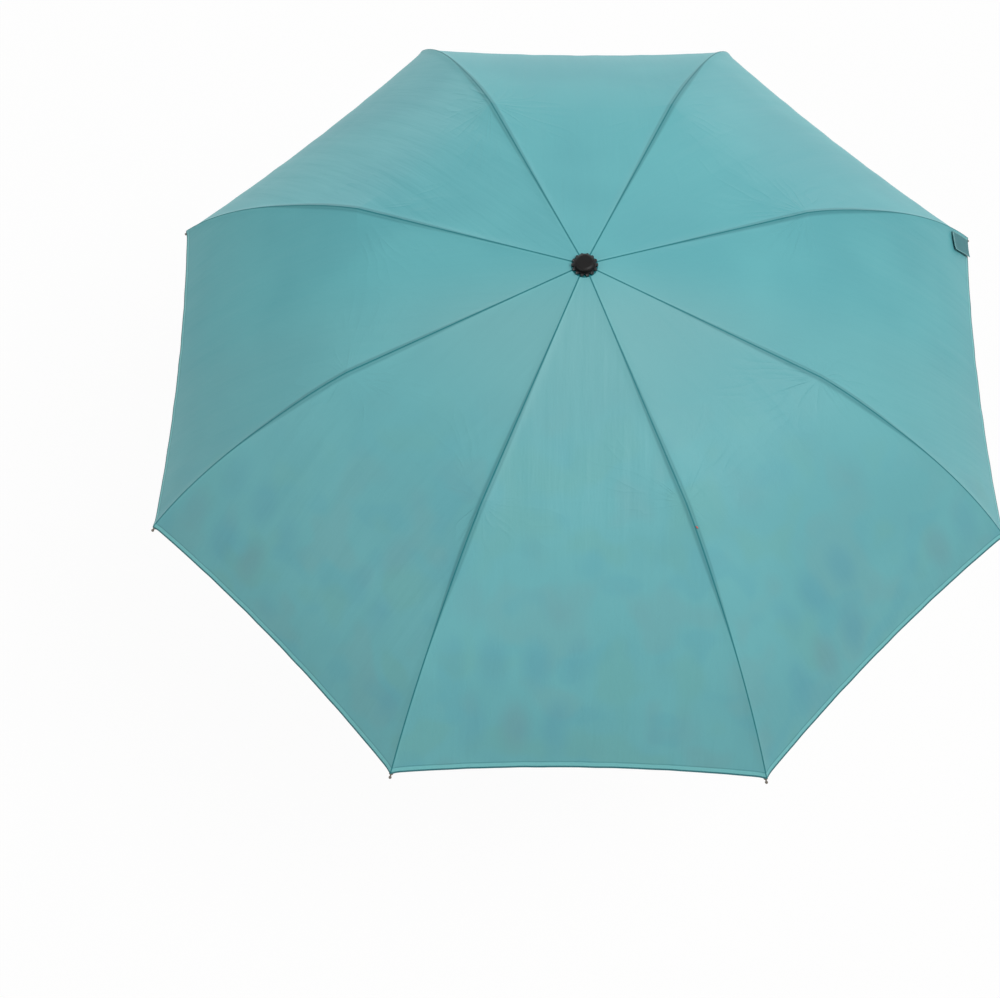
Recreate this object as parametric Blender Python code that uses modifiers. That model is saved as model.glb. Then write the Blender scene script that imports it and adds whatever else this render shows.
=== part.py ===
"""A reverse-folding stick umbrella with two canopy layers, built opened, handle down."""

import math

import bmesh
import bpy
from mathutils import Matrix, Vector

# Units, plain numbers and meshing
MM = 0.001
DEG = math.pi / 180.0
FULL_TURN = math.tau
QUARTER_TURN = math.pi / 2
HALF = 0.5
ONE = 1
MATRIX_SIZE = 4
SMOOTH_CUBE = 3.0
SMOOTH_SQUARE = 2.0
WELD = 0.01 * MM
SHARP_ANGLE = 40.0 * DEG

# Rib set
RIB_COUNT = 8
PIVOT_RADIUS = 12.0 * MM
CROWN_HEIGHT = 672.0 * MM
ARM_LENGTH = 250.9 * MM
ARM_OPEN_SLOPE = -10.83 * DEG
RIB_OPEN_SLOPE = -19.1 * DEG
LINK_OPEN_SLOPE = 12.7 * DEG
PIN_STEP = 9.0 * MM
ROD_DROP = 3.2 * MM
RIB_LENGTH = 318.3 * MM
RIB_BEND_RATE = 2.122
RIB_BEND_EASE = -0.644
FLEX_AT = 130.0 * MM

# Pressed steel bars and their pins
EYE_RADIUS = 2.0 * MM
EYE_HALF = 0.8 * MM
EYE_REACH = 11.0 * MM
EYE_END_HALF = 1.5 * MM
EYE_HOLE = 0.9 * MM
BAR_START = 5.0 * MM
BAR_HALF_HEIGHT = 2.0 * MM
BAR_OUTER_HALF = 2.3 * MM
BAR_INNER_HALF = 1.5 * MM
WEB_HALF = 1.9 * MM
WEB_LIFT = 0.15 * MM
WEB_THICKNESS = 0.8 * MM
BOSS_RADIUS = 2.5 * MM
ARM_FORK_LEAD = 10.0 * MM
LINK_FORK_LEAD = 7.0 * MM
LINK_INNER_HALF = 3.0 * MM
LINK_OUTER_HALF = 3.8 * MM
LINK_BLOCK_HALF = 3.4 * MM
LINK_BLOCK_END = 9.0 * MM
LINK_SPACER_SHARE = 0.45
LINK_PIN_HALF = 4.0 * MM
LINK_PIN_HEAD_HALF = 4.6 * MM
FORK_ARC_FROM = -105.0 * DEG
FORK_ARC_TO = 115.0 * DEG
PIN_RADIUS = 1.0 * MM
PIN_HOLE = 1.3 * MM
PIN_HEAD_RADIUS = 1.7 * MM
PIN_HEAD_HALF = 2.8 * MM
PIN_HEAD_FROM = 2.1 * MM
HOLE_CUT_HALF = 6.0 * MM
ROUND_STEPS = 8
PIN_STEPS = 6

# Rib bracket, rods and tips
TONGUE_HALF = 1.2 * MM
TONGUE_REACH = 13.0 * MM
TONGUE_END_HALF = 1.8 * MM
SOCKET_FROM = 8.0 * MM
SOCKET_TO = 26.0 * MM
SOCKET_RADIUS = 2.6 * MM
SOCKET_STEP = 0.3 * MM
ROD_RADIUS = 1.75 * MM
ROD_END_RADIUS = 1.5 * MM
ROD_SIDES_RESOLUTION = 1
FLEX_GAP_HALF = 0.3 * MM
ROD_INNER_STEPS = 5
ROD_OUTER_STEPS = 7
ROD_FINE_STEPS = 120
ROD_STOP = 10.0 * MM
TIP_CUP_OVERLAP = 4.5 * MM
TIP_CUP_RADIUS = 2.3 * MM
TIP_CUP_LENGTH = 6.5 * MM
TIP_BORE_DEPTH = 4.8 * MM
TIP_BORE_RADIUS = 1.8 * MM
TIP_NECK_RADIUS = 0.9 * MM
TIP_NECK_END = 11.0 * MM
TIP_BALL_RADIUS = 1.7 * MM
TIP_BALL_STEPS = 4
TIP_SIDES = 8

# Shaft and handle
CLEARANCE = 0.3 * MM
TUBE_RADIUS = 7.0 * MM
TUBE_BORE = 6.0 * MM
TUBE_FOOT = 86.0 * MM
ROUND_SIDES = 28
GRIP_BAR_RADIUS = 9.85 * MM
GRIP_ARC_RADIUS = 40.15 * MM
GRIP_ARC_CENTRE_Z = 18.65 * MM
GRIP_CENTRE_X = 4.3 * MM
GRIP_LOW_END_Z = -10.3 * MM
GRIP_HIGH_END_Z = 16.3 * MM
GRIP_ARC_STEPS = 14
GRIP_BAR_RESOLUTION = 3
GRIP_EDGE_ROUND = 0.8 * MM
STEM_FOOT = 56.0 * MM
STEM_TOP = 132.2 * MM
STEM_LOW_RADIUS = 9.6 * MM
STEM_TOP_RADIUS = 9.85 * MM
STEM_EDGE = 0.7 * MM
STEM_SOCKET_FLOOR = 84.0 * MM
NECK_RADIUS = 8.3 * MM
NECK_HEIGHT = 1.2 * MM

# Crown
NOTCH_RADIUS = 13.8 * MM
NOTCH_BELOW = 3.5 * MM
NOTCH_ABOVE = 3.0 * MM
NOTCH_BORE = 7.3 * MM
NOTCH_HUB_RADIUS = 9.2 * MM
NOTCH_HUB_BELOW = 9.0 * MM
SLOT_HALF = 1.1 * MM
SLOT_FLOOR_RADIUS = 9.5 * MM
SLOT_CUT_RADIUS = 17.0 * MM
WIRE_RADIUS = 0.6 * MM
WIRE_TUNNEL_RADIUS = 0.9 * MM
WIRE_SIDES = 6
WIRE_STEPS = 32
WASHER_CORE_RADIUS = 11.45 * MM
TOOTH_COUNT = 14
TOOTH_SIDES = 9
TOOTH_RADIUS = 1.9 * MM
TOOTH_CENTRE_RADIUS = 11.9 * MM
TOOTH_DROP = 1.1 * MM
TOOTHED_HEIGHT = 3.2 * MM
TOOTHED_BORE = 6.0 * MM
CAP_RADIUS = 10.4 * MM
CAP_FLAT_RADIUS = 7.6 * MM
CAP_EDGE_HEIGHT = 2.6 * MM
CAP_HEIGHT = 4.4 * MM
CAP_SPIGOT_RADIUS = 5.6 * MM
CAP_SPIGOT_DEPTH = 14.0 * MM

# Runner with its release button
RUNNER_BORE = 7.3 * MM
RUNNER_RADIUS = 10.4 * MM
RUNNER_DROP = 39.2 * MM
COLLAR_DROP = 13.5 * MM
COLLAR_LIP_DROP = 4.6 * MM
COLLAR_WAIST_DROP = 7.8 * MM
COLLAR_LOW_RADIUS = 12.5 * MM
COLLAR_WAIST_RADIUS = 12.9 * MM
COLLAR_LIP_RADIUS = 15.0 * MM
COLLAR_LIP_EDGE = 0.8 * MM
RUNNER_NOTCH_RADIUS = 13.7 * MM
RUNNER_NOTCH_ABOVE = 3.0 * MM
RUNNER_SLOT_DROP = 2.7 * MM
RUNNER_TUBE_RADIUS = 8.5 * MM
RUNNER_FLANGE_BORE = 8.8 * MM
RUNNER_EDGE = 0.5 * MM
BUTTON_CENTRE_DROP = 26.4 * MM
BUTTON_HALF_WIDTH = 4.0 * MM
BUTTON_HALF_HEIGHT = 10.0 * MM
BUTTON_BACK_Y = 8.5 * MM
BUTTON_RIM_Y = 10.2 * MM
BUTTON_FRONT_Y = 11.5 * MM
BUTTON_FRONT_SHARE = 0.62
BUTTON_STEPS = 20
BUTTON_CUT_BACK_Y = 5.0 * MM
BUTTON_CUT_FRONT_Y = 14.0 * MM
KEY_OUTER_X = -12.3 * MM
KEY_INNER_X = -8.4 * MM
KEY_LOW_Y = -2.5 * MM
KEY_HIGH_Y = 6.3 * MM
KEY_HALF_HEIGHT = 8.7 * MM
KEY_BEVEL = 1.1 * MM
KEY_BEVEL_STEPS = 3
KEY_POCKET_FLOOR_X = -8.1 * MM
KEY_POCKET_OUTER_X = -14.0 * MM
KEY_TRAVEL_ROOM = 1.3 * MM
STOP_LIFT = 4.0 * MM
STOP_HEIGHT = 2.0 * MM
STOP_BORE = 7.1 * MM
STOP_RADIUS = 8.4 * MM

# Canopies
CLOTH = 0.5 * MM
GORE_STEPS = 6
COVER_LIFT = 3.65 * MM
COVER_HOLE = 6.3 * MM
COVER_FLAT_RADIUS = 13.6 * MM
COVER_ARM_STEPS = 2
COVER_RIB_SHARES = (0.0, 0.1, 0.22, 0.36, 0.5, 0.63, 0.76, 0.88, 1.0)
COVER_JOINT_LIFT = 6.9 * MM
COVER_TIP_LIFT = 3.3 * MM
COVER_EASE_SHARE = 0.35
COVER_DIP = 9.0 * MM
DIP_POWER = 1.6
COVER_SCALLOP = 5.5 * MM
COVER_END = 307.5 * MM
LINING_INNER_RADIUS = 15.2 * MM
LINING_LIFT_FROM_LIP = 0.65 * MM
LINING_LINK_DROP = 4.4 * MM
LINING_ARM_STEPS = 4
LINING_KINK_DROP = 13.2 * MM
LINING_KINK_LEAD = 3.0 * MM
LINING_ROD_DROP = 2.7 * MM
LINING_SOCKET_DROP = 3.7 * MM
LINING_SOCKET_END = 32.0 * MM
LINING_RIB_SHARES = (0.3, 0.5, 0.75, 1.0)
LINING_END = 232.0 * MM
LINING_DIP = 14.0 * MM
LINING_LINK_DIP = 5.0 * MM
LINING_SCALLOP = 6.0 * MM
STRAP_RIB = 6
STRAP_AT = 150.0 * MM
STRAP_HALF_WIDTH = 10.0 * MM
STRAP_LENGTH = 150.0 * MM
STRAP_THICKNESS = 1.2 * MM
STRAP_DROP = 9.9 * MM
STRAP_STEPS = 6
STRAP_SWAY = 4.0 * MM
TAB_RIB = 1
TAB_AT = 277.0 * MM
TAB_OFFSET = 16.5 * MM
TAB_HALF_LENGTH = 24.0 * MM
TAB_HALF_WIDTH = 11.5 * MM
TAB_THICKNESS = 0.6 * MM

# Surface finishes: colour, roughness and metallic
BLACK_PLASTIC = ((0.018, 0.018, 0.02, 1.0), 0.45, 0.0)
SOFT_BLACK = ((0.012, 0.012, 0.013, 1.0), 0.6, 0.0)
BLACK_STEEL = ((0.03, 0.03, 0.032, 1.0), 0.35, 0.8)
BRIGHT_STEEL = ((0.55, 0.56, 0.57, 1.0), 0.25, 1.0)
ROD_GREY = ((0.05, 0.05, 0.055, 1.0), 0.5, 0.0)
KEY_RED = ((0.33, 0.02, 0.02, 1.0), 0.4, 0.0)
TEAL_CLOTH = ((0.15, 0.41, 0.45, 1.0), 0.85, 0.0)
DARK_TEAL_CLOTH = ((0.03, 0.15, 0.18, 1.0), 0.85, 0.0)
PRINT_CLOTH = ((0.62, 0.4, 0.36, 1.0), 0.85, 0.0)

# Values worked out from the sizes above
RIB_PITCH = FULL_TURN / RIB_COUNT
FIRST_RIB_TURN = RIB_PITCH * HALF
GORE_COS = math.cos(RIB_PITCH * HALF)
GORE_SIN = math.sin(RIB_PITCH * HALF)


def polar(length, angle):
    """A vector of this length in the rib plane, x outward and z up."""
    return Vector((length * math.cos(angle), 0, length * math.sin(angle)))


CROWN_PIVOT = Vector((PIVOT_RADIUS, 0, CROWN_HEIGHT))
UPPER_JOINT = CROWN_PIVOT + polar(ARM_LENGTH, ARM_OPEN_SLOPE)
LOWER_JOINT = UPPER_JOINT + polar(PIN_STEP, RIB_OPEN_SLOPE - QUARTER_TURN)
LINK_LENGTH = (LOWER_JOINT.x - PIVOT_RADIUS) / math.cos(LINK_OPEN_SLOPE)
RUNNER_PIVOT = LOWER_JOINT - polar(LINK_LENGTH, LINK_OPEN_SLOPE)
RUNNER_HEIGHT = RUNNER_PIVOT.z
COVER_TOP = CROWN_HEIGHT + COVER_LIFT


def rib_slope(along):
    """The rod's slope this far beyond the joint."""
    return RIB_OPEN_SLOPE - RIB_BEND_RATE * along - RIB_BEND_EASE * along * along


def rod_path(upto, steps=ROD_FINE_STEPS):
    """Points of the rod's centreline from the joint, with the length at each."""
    point = UPPER_JOINT + polar(ROD_DROP, RIB_OPEN_SLOPE - QUARTER_TURN)
    step = upto / steps
    found = [(0, point.copy())]
    for index in range(steps):
        middle = (index + HALF) * step
        point = point + polar(step, rib_slope(middle))
        found.append(((index + ONE) * step, point.copy()))
    return found


FULL_ROD = rod_path(RIB_LENGTH)


def rod_point(along):
    """The point of the rod's centreline this far beyond the joint."""
    for (low, start), (high, end) in zip(FULL_ROD, FULL_ROD[ONE:]):
        if along <= high:
            return start.lerp(end, (along - low) / (high - low))
    return FULL_ROD[-ONE][ONE].copy()


def rod_normal(along):
    """The direction square to the rod, upward."""
    return polar(ONE, rib_slope(along) + QUARTER_TURN)


def turn_of(number):
    """The angle of this rib around the shaft."""
    return FIRST_RIB_TURN + (number - ONE) * RIB_PITCH


def clear_scene():
    """Empties the file."""
    for item in list(bpy.data.objects):
        bpy.data.objects.remove(item)


def new_collection(name):
    """A collection in the scene."""
    group = bpy.data.collections.new(name)
    bpy.context.scene.collection.children.link(group)
    return group


def finish(name, values):
    """A plain material of this colour, roughness and metallic value."""
    colour, roughness, metallic = values
    material = bpy.data.materials.new(name)
    material.use_nodes = True
    shader = material.node_tree.nodes["Principled BSDF"]
    shader.inputs["Base Color"].default_value = colour
    shader.inputs["Roughness"].default_value = roughness
    shader.inputs["Metallic"].default_value = metallic
    material.diffuse_color = colour
    return material


def mesh_from(builder, name):
    """A mesh data block made from a bmesh."""
    bmesh.ops.recalc_face_normals(builder, faces=builder.faces)
    mesh = bpy.data.meshes.new(name)
    builder.to_mesh(mesh)
    builder.free()
    return mesh


def hull(name, points):
    """The convex solid around these points."""
    builder = bmesh.new()
    for point in points:
        builder.verts.new(point)
    result = bmesh.ops.convex_hull(builder, input=builder.verts)
    loose = [item for item in result["geom_interior"] if isinstance(item, bmesh.types.BMVert)]
    bmesh.ops.delete(builder, geom=loose, context="VERTS")
    return mesh_from(builder, name)


def disc(centre_x, centre_z, radius, low, high, steps=ROUND_STEPS):
    """Points of two circles in the rib plane's direction, at two offsets across it."""
    points = []
    for index in range(steps):
        angle = FULL_TURN * index / steps
        x = centre_x + radius * math.cos(angle)
        z = centre_z + radius * math.sin(angle)
        points.append(Vector((x, low, z)))
        points.append(Vector((x, high, z)))
    return points


def box(low, high):
    """The eight corners of a box."""
    return [
        Vector((x, y, z))
        for x in (low[0], high[0])
        for y in (low[1], high[1])
        for z in (low[2], high[2])
    ]


def prism(name, outline, low, high):
    """A plate of this outline, in x and z, from one offset across the plane to the other."""
    builder = bmesh.new()
    corners = [builder.verts.new((x, low, z)) for x, z in outline]
    face = builder.faces.new(corners)
    result = bmesh.ops.extrude_face_region(builder, geom=[face])
    moved = [item for item in result["geom"] if isinstance(item, bmesh.types.BMVert)]
    bmesh.ops.translate(builder, verts=moved, vec=(0, high - low, 0))
    return mesh_from(builder, name)


def baked(item):
    """The object's mesh with its modifiers applied."""
    graph = bpy.context.evaluated_depsgraph_get()
    mesh = bpy.data.meshes.new_from_object(item.evaluated_get(graph))
    builder = bmesh.new()
    builder.from_mesh(mesh)
    bmesh.ops.remove_doubles(builder, verts=builder.verts, dist=WELD)
    return mesh_from(builder, mesh.name)


def helper(mesh):
    """A hidden object for shaping others."""
    item = bpy.data.objects.new("shape_" + mesh.name, mesh)
    HELPERS.objects.link(item)
    item.hide_render = True
    item.display_type = "WIRE"
    return item


def combine(base, others, operation):
    """The first mesh joined with, or cut by, the others."""
    item = helper(base)
    for other in others:
        modifier = item.modifiers.new("shape", "BOOLEAN")
        modifier.operation = operation
        modifier.solver = "EXACT"
        modifier.object = helper(other)
    mesh = baked(item)
    mesh.name = base.name + "_done"
    return mesh


def lathe(name, outline, sides=ROUND_SIDES, closed=True):
    """A solid turned about the z axis from an outline of radius and height."""
    builder = bmesh.new()
    corners = [builder.verts.new((radius, 0, z)) for radius, z in outline]
    for start, end in zip(corners, corners[ONE:]):
        builder.edges.new((start, end))
    if closed:
        builder.edges.new((corners[-ONE], corners[0]))
    mesh = bpy.data.meshes.new(name + "_outline")
    builder.to_mesh(mesh)
    builder.free()
    item = helper(mesh)
    modifier = item.modifiers.new("turn", "SCREW")
    modifier.axis = "Z"
    modifier.angle = FULL_TURN
    modifier.steps = sides
    modifier.render_steps = sides
    modifier.use_merge_vertices = True
    modifier.merge_threshold = WELD
    done = baked(item)
    done.name = name
    return done


def swept(name, points, radii, resolution):
    """A round bar along these points, with the radius at each."""
    curve = bpy.data.curves.new(name + "_path", "CURVE")
    curve.dimensions = "3D"
    curve.bevel_depth = ONE
    curve.bevel_resolution = resolution
    curve.use_fill_caps = True
    spline = curve.splines.new("POLY")
    spline.points.add(len(points) - ONE)
    for knot, point, radius in zip(spline.points, points, radii):
        knot.co = (*point, ONE)
        knot.radius = radius
    item = bpy.data.objects.new("path_" + name, curve)
    HELPERS.objects.link(item)
    item.hide_render = True
    item.display_type = "WIRE"
    mesh = baked(item)
    mesh.name = name
    return mesh


def ring_outline(inner, outer, low, high, edge=0):
    """The outline of a plain ring, with its outer edges cut by this much."""
    return [
        (inner, high),
        (outer - edge, high),
        (outer, high - edge),
        (outer, low + edge),
        (outer - edge, low),
        (inner, low),
    ]


def place(name, mesh, material, matrix=None, smooth=True):
    """A finished piece in the umbrella's collection."""
    if not mesh.materials:
        mesh.materials.append(material)
    for face in mesh.polygons:
        face.use_smooth = smooth
    if smooth:
        mesh.set_sharp_from_angle(angle=SHARP_ANGLE)
    item = bpy.data.objects.new(name, mesh)
    UMBRELLA.objects.link(item)
    if matrix is not None:
        item.matrix_world = matrix
    return item


def at_rib(number, point, slope=0):
    """The placement of a piece of this rib, from its own plane to the umbrella."""
    around = Matrix.Rotation(turn_of(number), MATRIX_SIZE, "Z")
    tilt = Matrix.Rotation(-slope, MATRIX_SIZE, "Y")
    return around @ Matrix.Translation(point) @ tilt


def cheek_outline(length, drop, lead):
    """A bar's side, with a round boss about the pin at its outer end."""
    lead_x = length - lead
    lead_z = -drop * lead_x / length
    arc = [
        (
            length + BOSS_RADIUS * math.cos(angle),
            BOSS_RADIUS * math.sin(angle),
        )
        for angle in (
            FORK_ARC_FROM + (FORK_ARC_TO - FORK_ARC_FROM) * index / ROUND_STEPS
            for index in range(ROUND_STEPS + ONE)
        )
    ]
    start = [(BAR_START, -BAR_HALF_HEIGHT), (lead_x, lead_z - BAR_HALF_HEIGHT)]
    return start + arc + [(lead_x, lead_z + BAR_HALF_HEIGHT), (BAR_START, BAR_HALF_HEIGHT)]


def eye_mesh():
    """The flat eye at a bar's inner end, before its hole."""
    eye = disc(0, 0, EYE_RADIUS, -EYE_HALF, EYE_HALF)
    eye += box(
        (EYE_REACH - WEB_LIFT, -EYE_HALF, -EYE_END_HALF),
        (EYE_REACH, EYE_HALF, EYE_END_HALF),
    )
    return hull("eye", eye)


def hole_mesh(name, x, z, radius):
    """A round cutter across the rib plane."""
    return hull(name, disc(x, z, radius, -HOLE_CUT_HALF, HOLE_CUT_HALF, PIN_STEPS))


def arm_mesh():
    """A pressed channel with an eye at its inner end and a pinned fork at its outer end."""
    length = ARM_LENGTH
    lead_x = length - ARM_FORK_LEAD
    lead_z = -ROD_DROP * lead_x / length
    cheek = cheek_outline(length, ROD_DROP, ARM_FORK_LEAD)
    web_low = -BAR_HALF_HEIGHT + WEB_LIFT
    web_high = web_low + WEB_THICKNESS
    web_from = BAR_START + WEB_LIFT
    web_to = lead_x - WEB_LIFT
    web = [
        (web_from, web_low),
        (web_to, lead_z + web_low),
        (web_to, lead_z + web_high),
        (web_from, web_high),
    ]
    pieces = [
        prism("cheek", cheek, BAR_INNER_HALF, BAR_OUTER_HALF),
        prism("cheek", cheek, -BAR_OUTER_HALF, -BAR_INNER_HALF),
        eye_mesh(),
        hull("pin", disc(length, 0, PIN_RADIUS, -PIN_HEAD_FROM, PIN_HEAD_FROM, PIN_STEPS)),
    ]
    for side in (-ONE, ONE):
        ends = (side * PIN_HEAD_FROM, side * PIN_HEAD_HALF)
        head = disc(length, 0, PIN_HEAD_RADIUS, min(ends), max(ends), PIN_STEPS)
        pieces.append(hull("pin_head", head))
    solid = combine(prism("arm", web, -WEB_HALF, WEB_HALF), pieces, "UNION")
    return combine(solid, [hole_mesh("eye_hole", 0, 0, EYE_HOLE)], "DIFFERENCE")


def link_mesh():
    """Two flat strips either side of the arm's plane, joined by a block with an eye and by a spacer."""
    cheek = cheek_outline(LINK_LENGTH, 0, LINK_FORK_LEAD)
    low = (BAR_START + WEB_LIFT, -LINK_BLOCK_HALF, WEB_LIFT - BAR_HALF_HEIGHT)
    high = (LINK_BLOCK_END, LINK_BLOCK_HALF, BAR_HALF_HEIGHT - WEB_LIFT)
    spacer_x = LINK_LENGTH * LINK_SPACER_SHARE
    spacer = disc(spacer_x, 0, PIN_RADIUS, -LINK_BLOCK_HALF, LINK_BLOCK_HALF, PIN_STEPS)
    pieces = [
        prism("cheek", cheek, LINK_INNER_HALF, LINK_OUTER_HALF),
        prism("cheek", cheek, -LINK_OUTER_HALF, -LINK_INNER_HALF),
        eye_mesh(),
        hull("spacer", spacer),
    ]
    solid = combine(hull("link", box(low, high)), pieces, "UNION")
    holes = [
        hole_mesh("eye_hole", 0, 0, EYE_HOLE),
        hole_mesh("pin_hole", LINK_LENGTH, 0, PIN_HOLE),
    ]
    return combine(solid, holes, "DIFFERENCE")


def bracket_mesh():
    """The rib's joint bracket with the link's pin, its socket and the first length of rod."""
    across = (-TONGUE_HALF, TONGUE_HALF)
    lower = polar(PIN_STEP, RIB_OPEN_SLOPE - QUARTER_TURN)
    tongue = disc(0, 0, BOSS_RADIUS, *across) + disc(lower.x, lower.z, BOSS_RADIUS, *across)
    reach = rod_point(TONGUE_REACH) - UPPER_JOINT
    for side in (-ONE, ONE):
        corner = reach + rod_normal(TONGUE_REACH) * side * TONGUE_END_HALF
        tongue += [Vector((corner.x, offset, corner.z)) for offset in across]
    stations = [SOCKET_FROM, (SOCKET_FROM + SOCKET_TO) * HALF, SOCKET_TO, SOCKET_TO + SOCKET_STEP]
    radii = [SOCKET_RADIUS] * (len(stations) - ONE) + [ROD_RADIUS]
    last = FLEX_AT - FLEX_GAP_HALF
    first = stations[-ONE]
    for index in range(ONE, ROD_INNER_STEPS + ONE):
        stations.append(first + (last - first) * index / ROD_INNER_STEPS)
        radii.append(ROD_RADIUS)
    path = [rod_point(along) - UPPER_JOINT for along in stations]
    rod = swept("rod_start", path, radii, ROD_SIDES_RESOLUTION)
    pin = disc(lower.x, lower.z, PIN_RADIUS, -LINK_PIN_HEAD_HALF, LINK_PIN_HEAD_HALF, PIN_STEPS)
    pieces = [rod, hull("link_pin", pin)]
    for side in (-ONE, ONE):
        ends = (side * LINK_PIN_HALF, side * (LINK_PIN_HEAD_HALF + WEB_LIFT))
        head = disc(lower.x, lower.z, PIN_HEAD_RADIUS, min(ends), max(ends), PIN_STEPS)
        pieces.append(hull("pin_head", head))
    solid = combine(hull("rib_bracket", tongue), pieces, "UNION")
    return combine(solid, [hole_mesh("pin_hole", 0, 0, PIN_HOLE)], "DIFFERENCE")


def outer_rod_mesh():
    """The rod from the flexing place to the tip, slightly tapered."""
    first = FLEX_AT + FLEX_GAP_HALF
    last = RIB_LENGTH - ROD_STOP
    path = []
    radii = []
    for index in range(ROD_OUTER_STEPS + ONE):
        part = index / ROD_OUTER_STEPS
        path.append(rod_point(first + (last - first) * part) - rod_point(FLEX_AT))
        radii.append(ROD_RADIUS + (ROD_END_RADIUS - ROD_RADIUS) * part)
    return swept("rib_rod", path, radii, ROD_SIDES_RESOLUTION)


def tip_mesh():
    """The ball-ended pin that caps a rod, turned about z with its ball up."""
    outline = [
        (0, TIP_BORE_DEPTH),
        (TIP_BORE_RADIUS, TIP_BORE_DEPTH),
        (TIP_BORE_RADIUS, 0),
        (TIP_CUP_RADIUS, 0),
        (TIP_CUP_RADIUS, TIP_CUP_LENGTH - ROD_END_RADIUS * HALF),
        (TIP_NECK_RADIUS, TIP_CUP_LENGTH),
    ]
    start = math.asin(TIP_NECK_RADIUS / TIP_BALL_RADIUS)
    for index in range(TIP_BALL_STEPS + ONE):
        angle = start + (math.pi - start) * index / TIP_BALL_STEPS
        radius = TIP_BALL_RADIUS * math.sin(angle)
        height = TIP_NECK_END - TIP_BALL_RADIUS * math.cos(angle)
        outline.append((max(radius, 0) if index < TIP_BALL_STEPS else 0, height))
    return lathe("rib_tip", outline, TIP_SIDES, closed=False)


def build_ribs(finishes):
    """The eight arms, links, rib halves and tips."""
    arm = arm_mesh()
    link = link_mesh()
    bracket = bracket_mesh()
    rod = outer_rod_mesh()
    tip = tip_mesh()
    tip_at = RIB_LENGTH - ROD_STOP - TIP_CUP_OVERLAP
    lay_out = Matrix.Rotation(QUARTER_TURN, MATRIX_SIZE, "Y")
    for number in range(ONE, RIB_COUNT + ONE):
        end = f"_{number}"
        place("arm" + end, arm, finishes["steel"], at_rib(number, CROWN_PIVOT, ARM_OPEN_SLOPE))
        place("link" + end, link, finishes["steel"], at_rib(number, RUNNER_PIVOT, LINK_OPEN_SLOPE))
        place("rib_inner" + end, bracket, finishes["rod"], at_rib(number, UPPER_JOINT))
        place("rib_outer" + end, rod, finishes["rod"], at_rib(number, rod_point(FLEX_AT)))
        seat = at_rib(number, rod_point(tip_at), rib_slope(RIB_LENGTH)) @ lay_out
        place("rib_tip" + end, tip, finishes["tip"], seat)


def grip_path():
    """The centreline of the C-shaped grip, from the free end round to the stem side."""
    right = GRIP_CENTRE_X + GRIP_ARC_RADIUS
    left = GRIP_CENTRE_X - GRIP_ARC_RADIUS
    points = [Vector((right, 0, GRIP_LOW_END_Z))]
    for index in range(GRIP_ARC_STEPS + ONE):
        angle = math.pi * index / GRIP_ARC_STEPS
        x = GRIP_CENTRE_X + GRIP_ARC_RADIUS * math.cos(angle)
        z = -GRIP_ARC_CENTRE_Z - GRIP_ARC_RADIUS * math.sin(angle)
        points.append(Vector((x, 0, z)))
    points.append(Vector((left, 0, 0)))
    for index in range(GRIP_ARC_STEPS + ONE):
        angle = math.pi * index / GRIP_ARC_STEPS
        x = GRIP_CENTRE_X - GRIP_ARC_RADIUS * math.cos(angle)
        z = GRIP_ARC_CENTRE_Z + GRIP_ARC_RADIUS * math.sin(angle)
        points.append(Vector((x, 0, z)))
    points.append(Vector((right, 0, GRIP_HIGH_END_Z)))
    return points


def build_handle(finishes):
    """The C grip with its stem in one moulding, and the thin ring above the stem."""
    path = grip_path()
    first = path[0].lerp(path[ONE], GRIP_EDGE_ROUND / (path[ONE] - path[0]).length)
    last = path[-ONE].lerp(path[-ONE - ONE], GRIP_EDGE_ROUND / (path[-ONE] - path[-ONE - ONE]).length)
    points = [path[0], first, *path[ONE:-ONE], last, path[-ONE]]
    radii = [GRIP_BAR_RADIUS] * len(points)
    radii[0] = radii[-ONE] = GRIP_BAR_RADIUS - GRIP_EDGE_ROUND
    grip = swept("handle", points, radii, GRIP_BAR_RESOLUTION)
    stem = lathe(
        "stem",
        [
            (0, STEM_TOP),
            (STEM_TOP_RADIUS - STEM_EDGE, STEM_TOP),
            (STEM_TOP_RADIUS, STEM_TOP - STEM_EDGE),
            (STEM_LOW_RADIUS, STEM_FOOT),
            (0, STEM_FOOT),
        ],
        closed=False,
    )
    solid = combine(grip, [stem], "UNION")
    socket = lathe(
        "socket",
        [
            (0, STEM_TOP + STEM_EDGE),
            (TUBE_RADIUS + CLEARANCE, STEM_TOP + STEM_EDGE),
            (TUBE_RADIUS + CLEARANCE, STEM_SOCKET_FLOOR),
            (0, STEM_SOCKET_FLOOR),
        ],
        closed=False,
    )
    place("handle", combine(solid, [socket], "DIFFERENCE"), finishes["grip"])
    neck_low = STEM_TOP + CLEARANCE
    neck = ring_outline(TUBE_RADIUS + CLEARANCE, NECK_RADIUS, neck_low, neck_low + NECK_HEIGHT)
    place("neck_ring", lathe("neck_ring", neck), finishes["plastic"])


def wire_mesh(name, radius, height):
    """A round wire or tunnel in a ring about the shaft."""
    outline = []
    for index in range(WIRE_SIDES):
        angle = -FULL_TURN * index / WIRE_SIDES
        outline.append((PIVOT_RADIUS + radius * math.cos(angle), height + radius * math.sin(angle)))
    return lathe(name, outline, WIRE_STEPS)


def slot_cutters(low, high):
    """The boxes that cut one radial slot for each rib."""
    cutters = []
    for number in range(ONE, RIB_COUNT + ONE):
        corners = box((SLOT_FLOOR_RADIUS, -SLOT_HALF, low), (SLOT_CUT_RADIUS, SLOT_HALF, high))
        mesh = hull("slot", corners)
        mesh.transform(Matrix.Rotation(turn_of(number), MATRIX_SIZE, "Z"))
        cutters.append(mesh)
    return cutters


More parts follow.
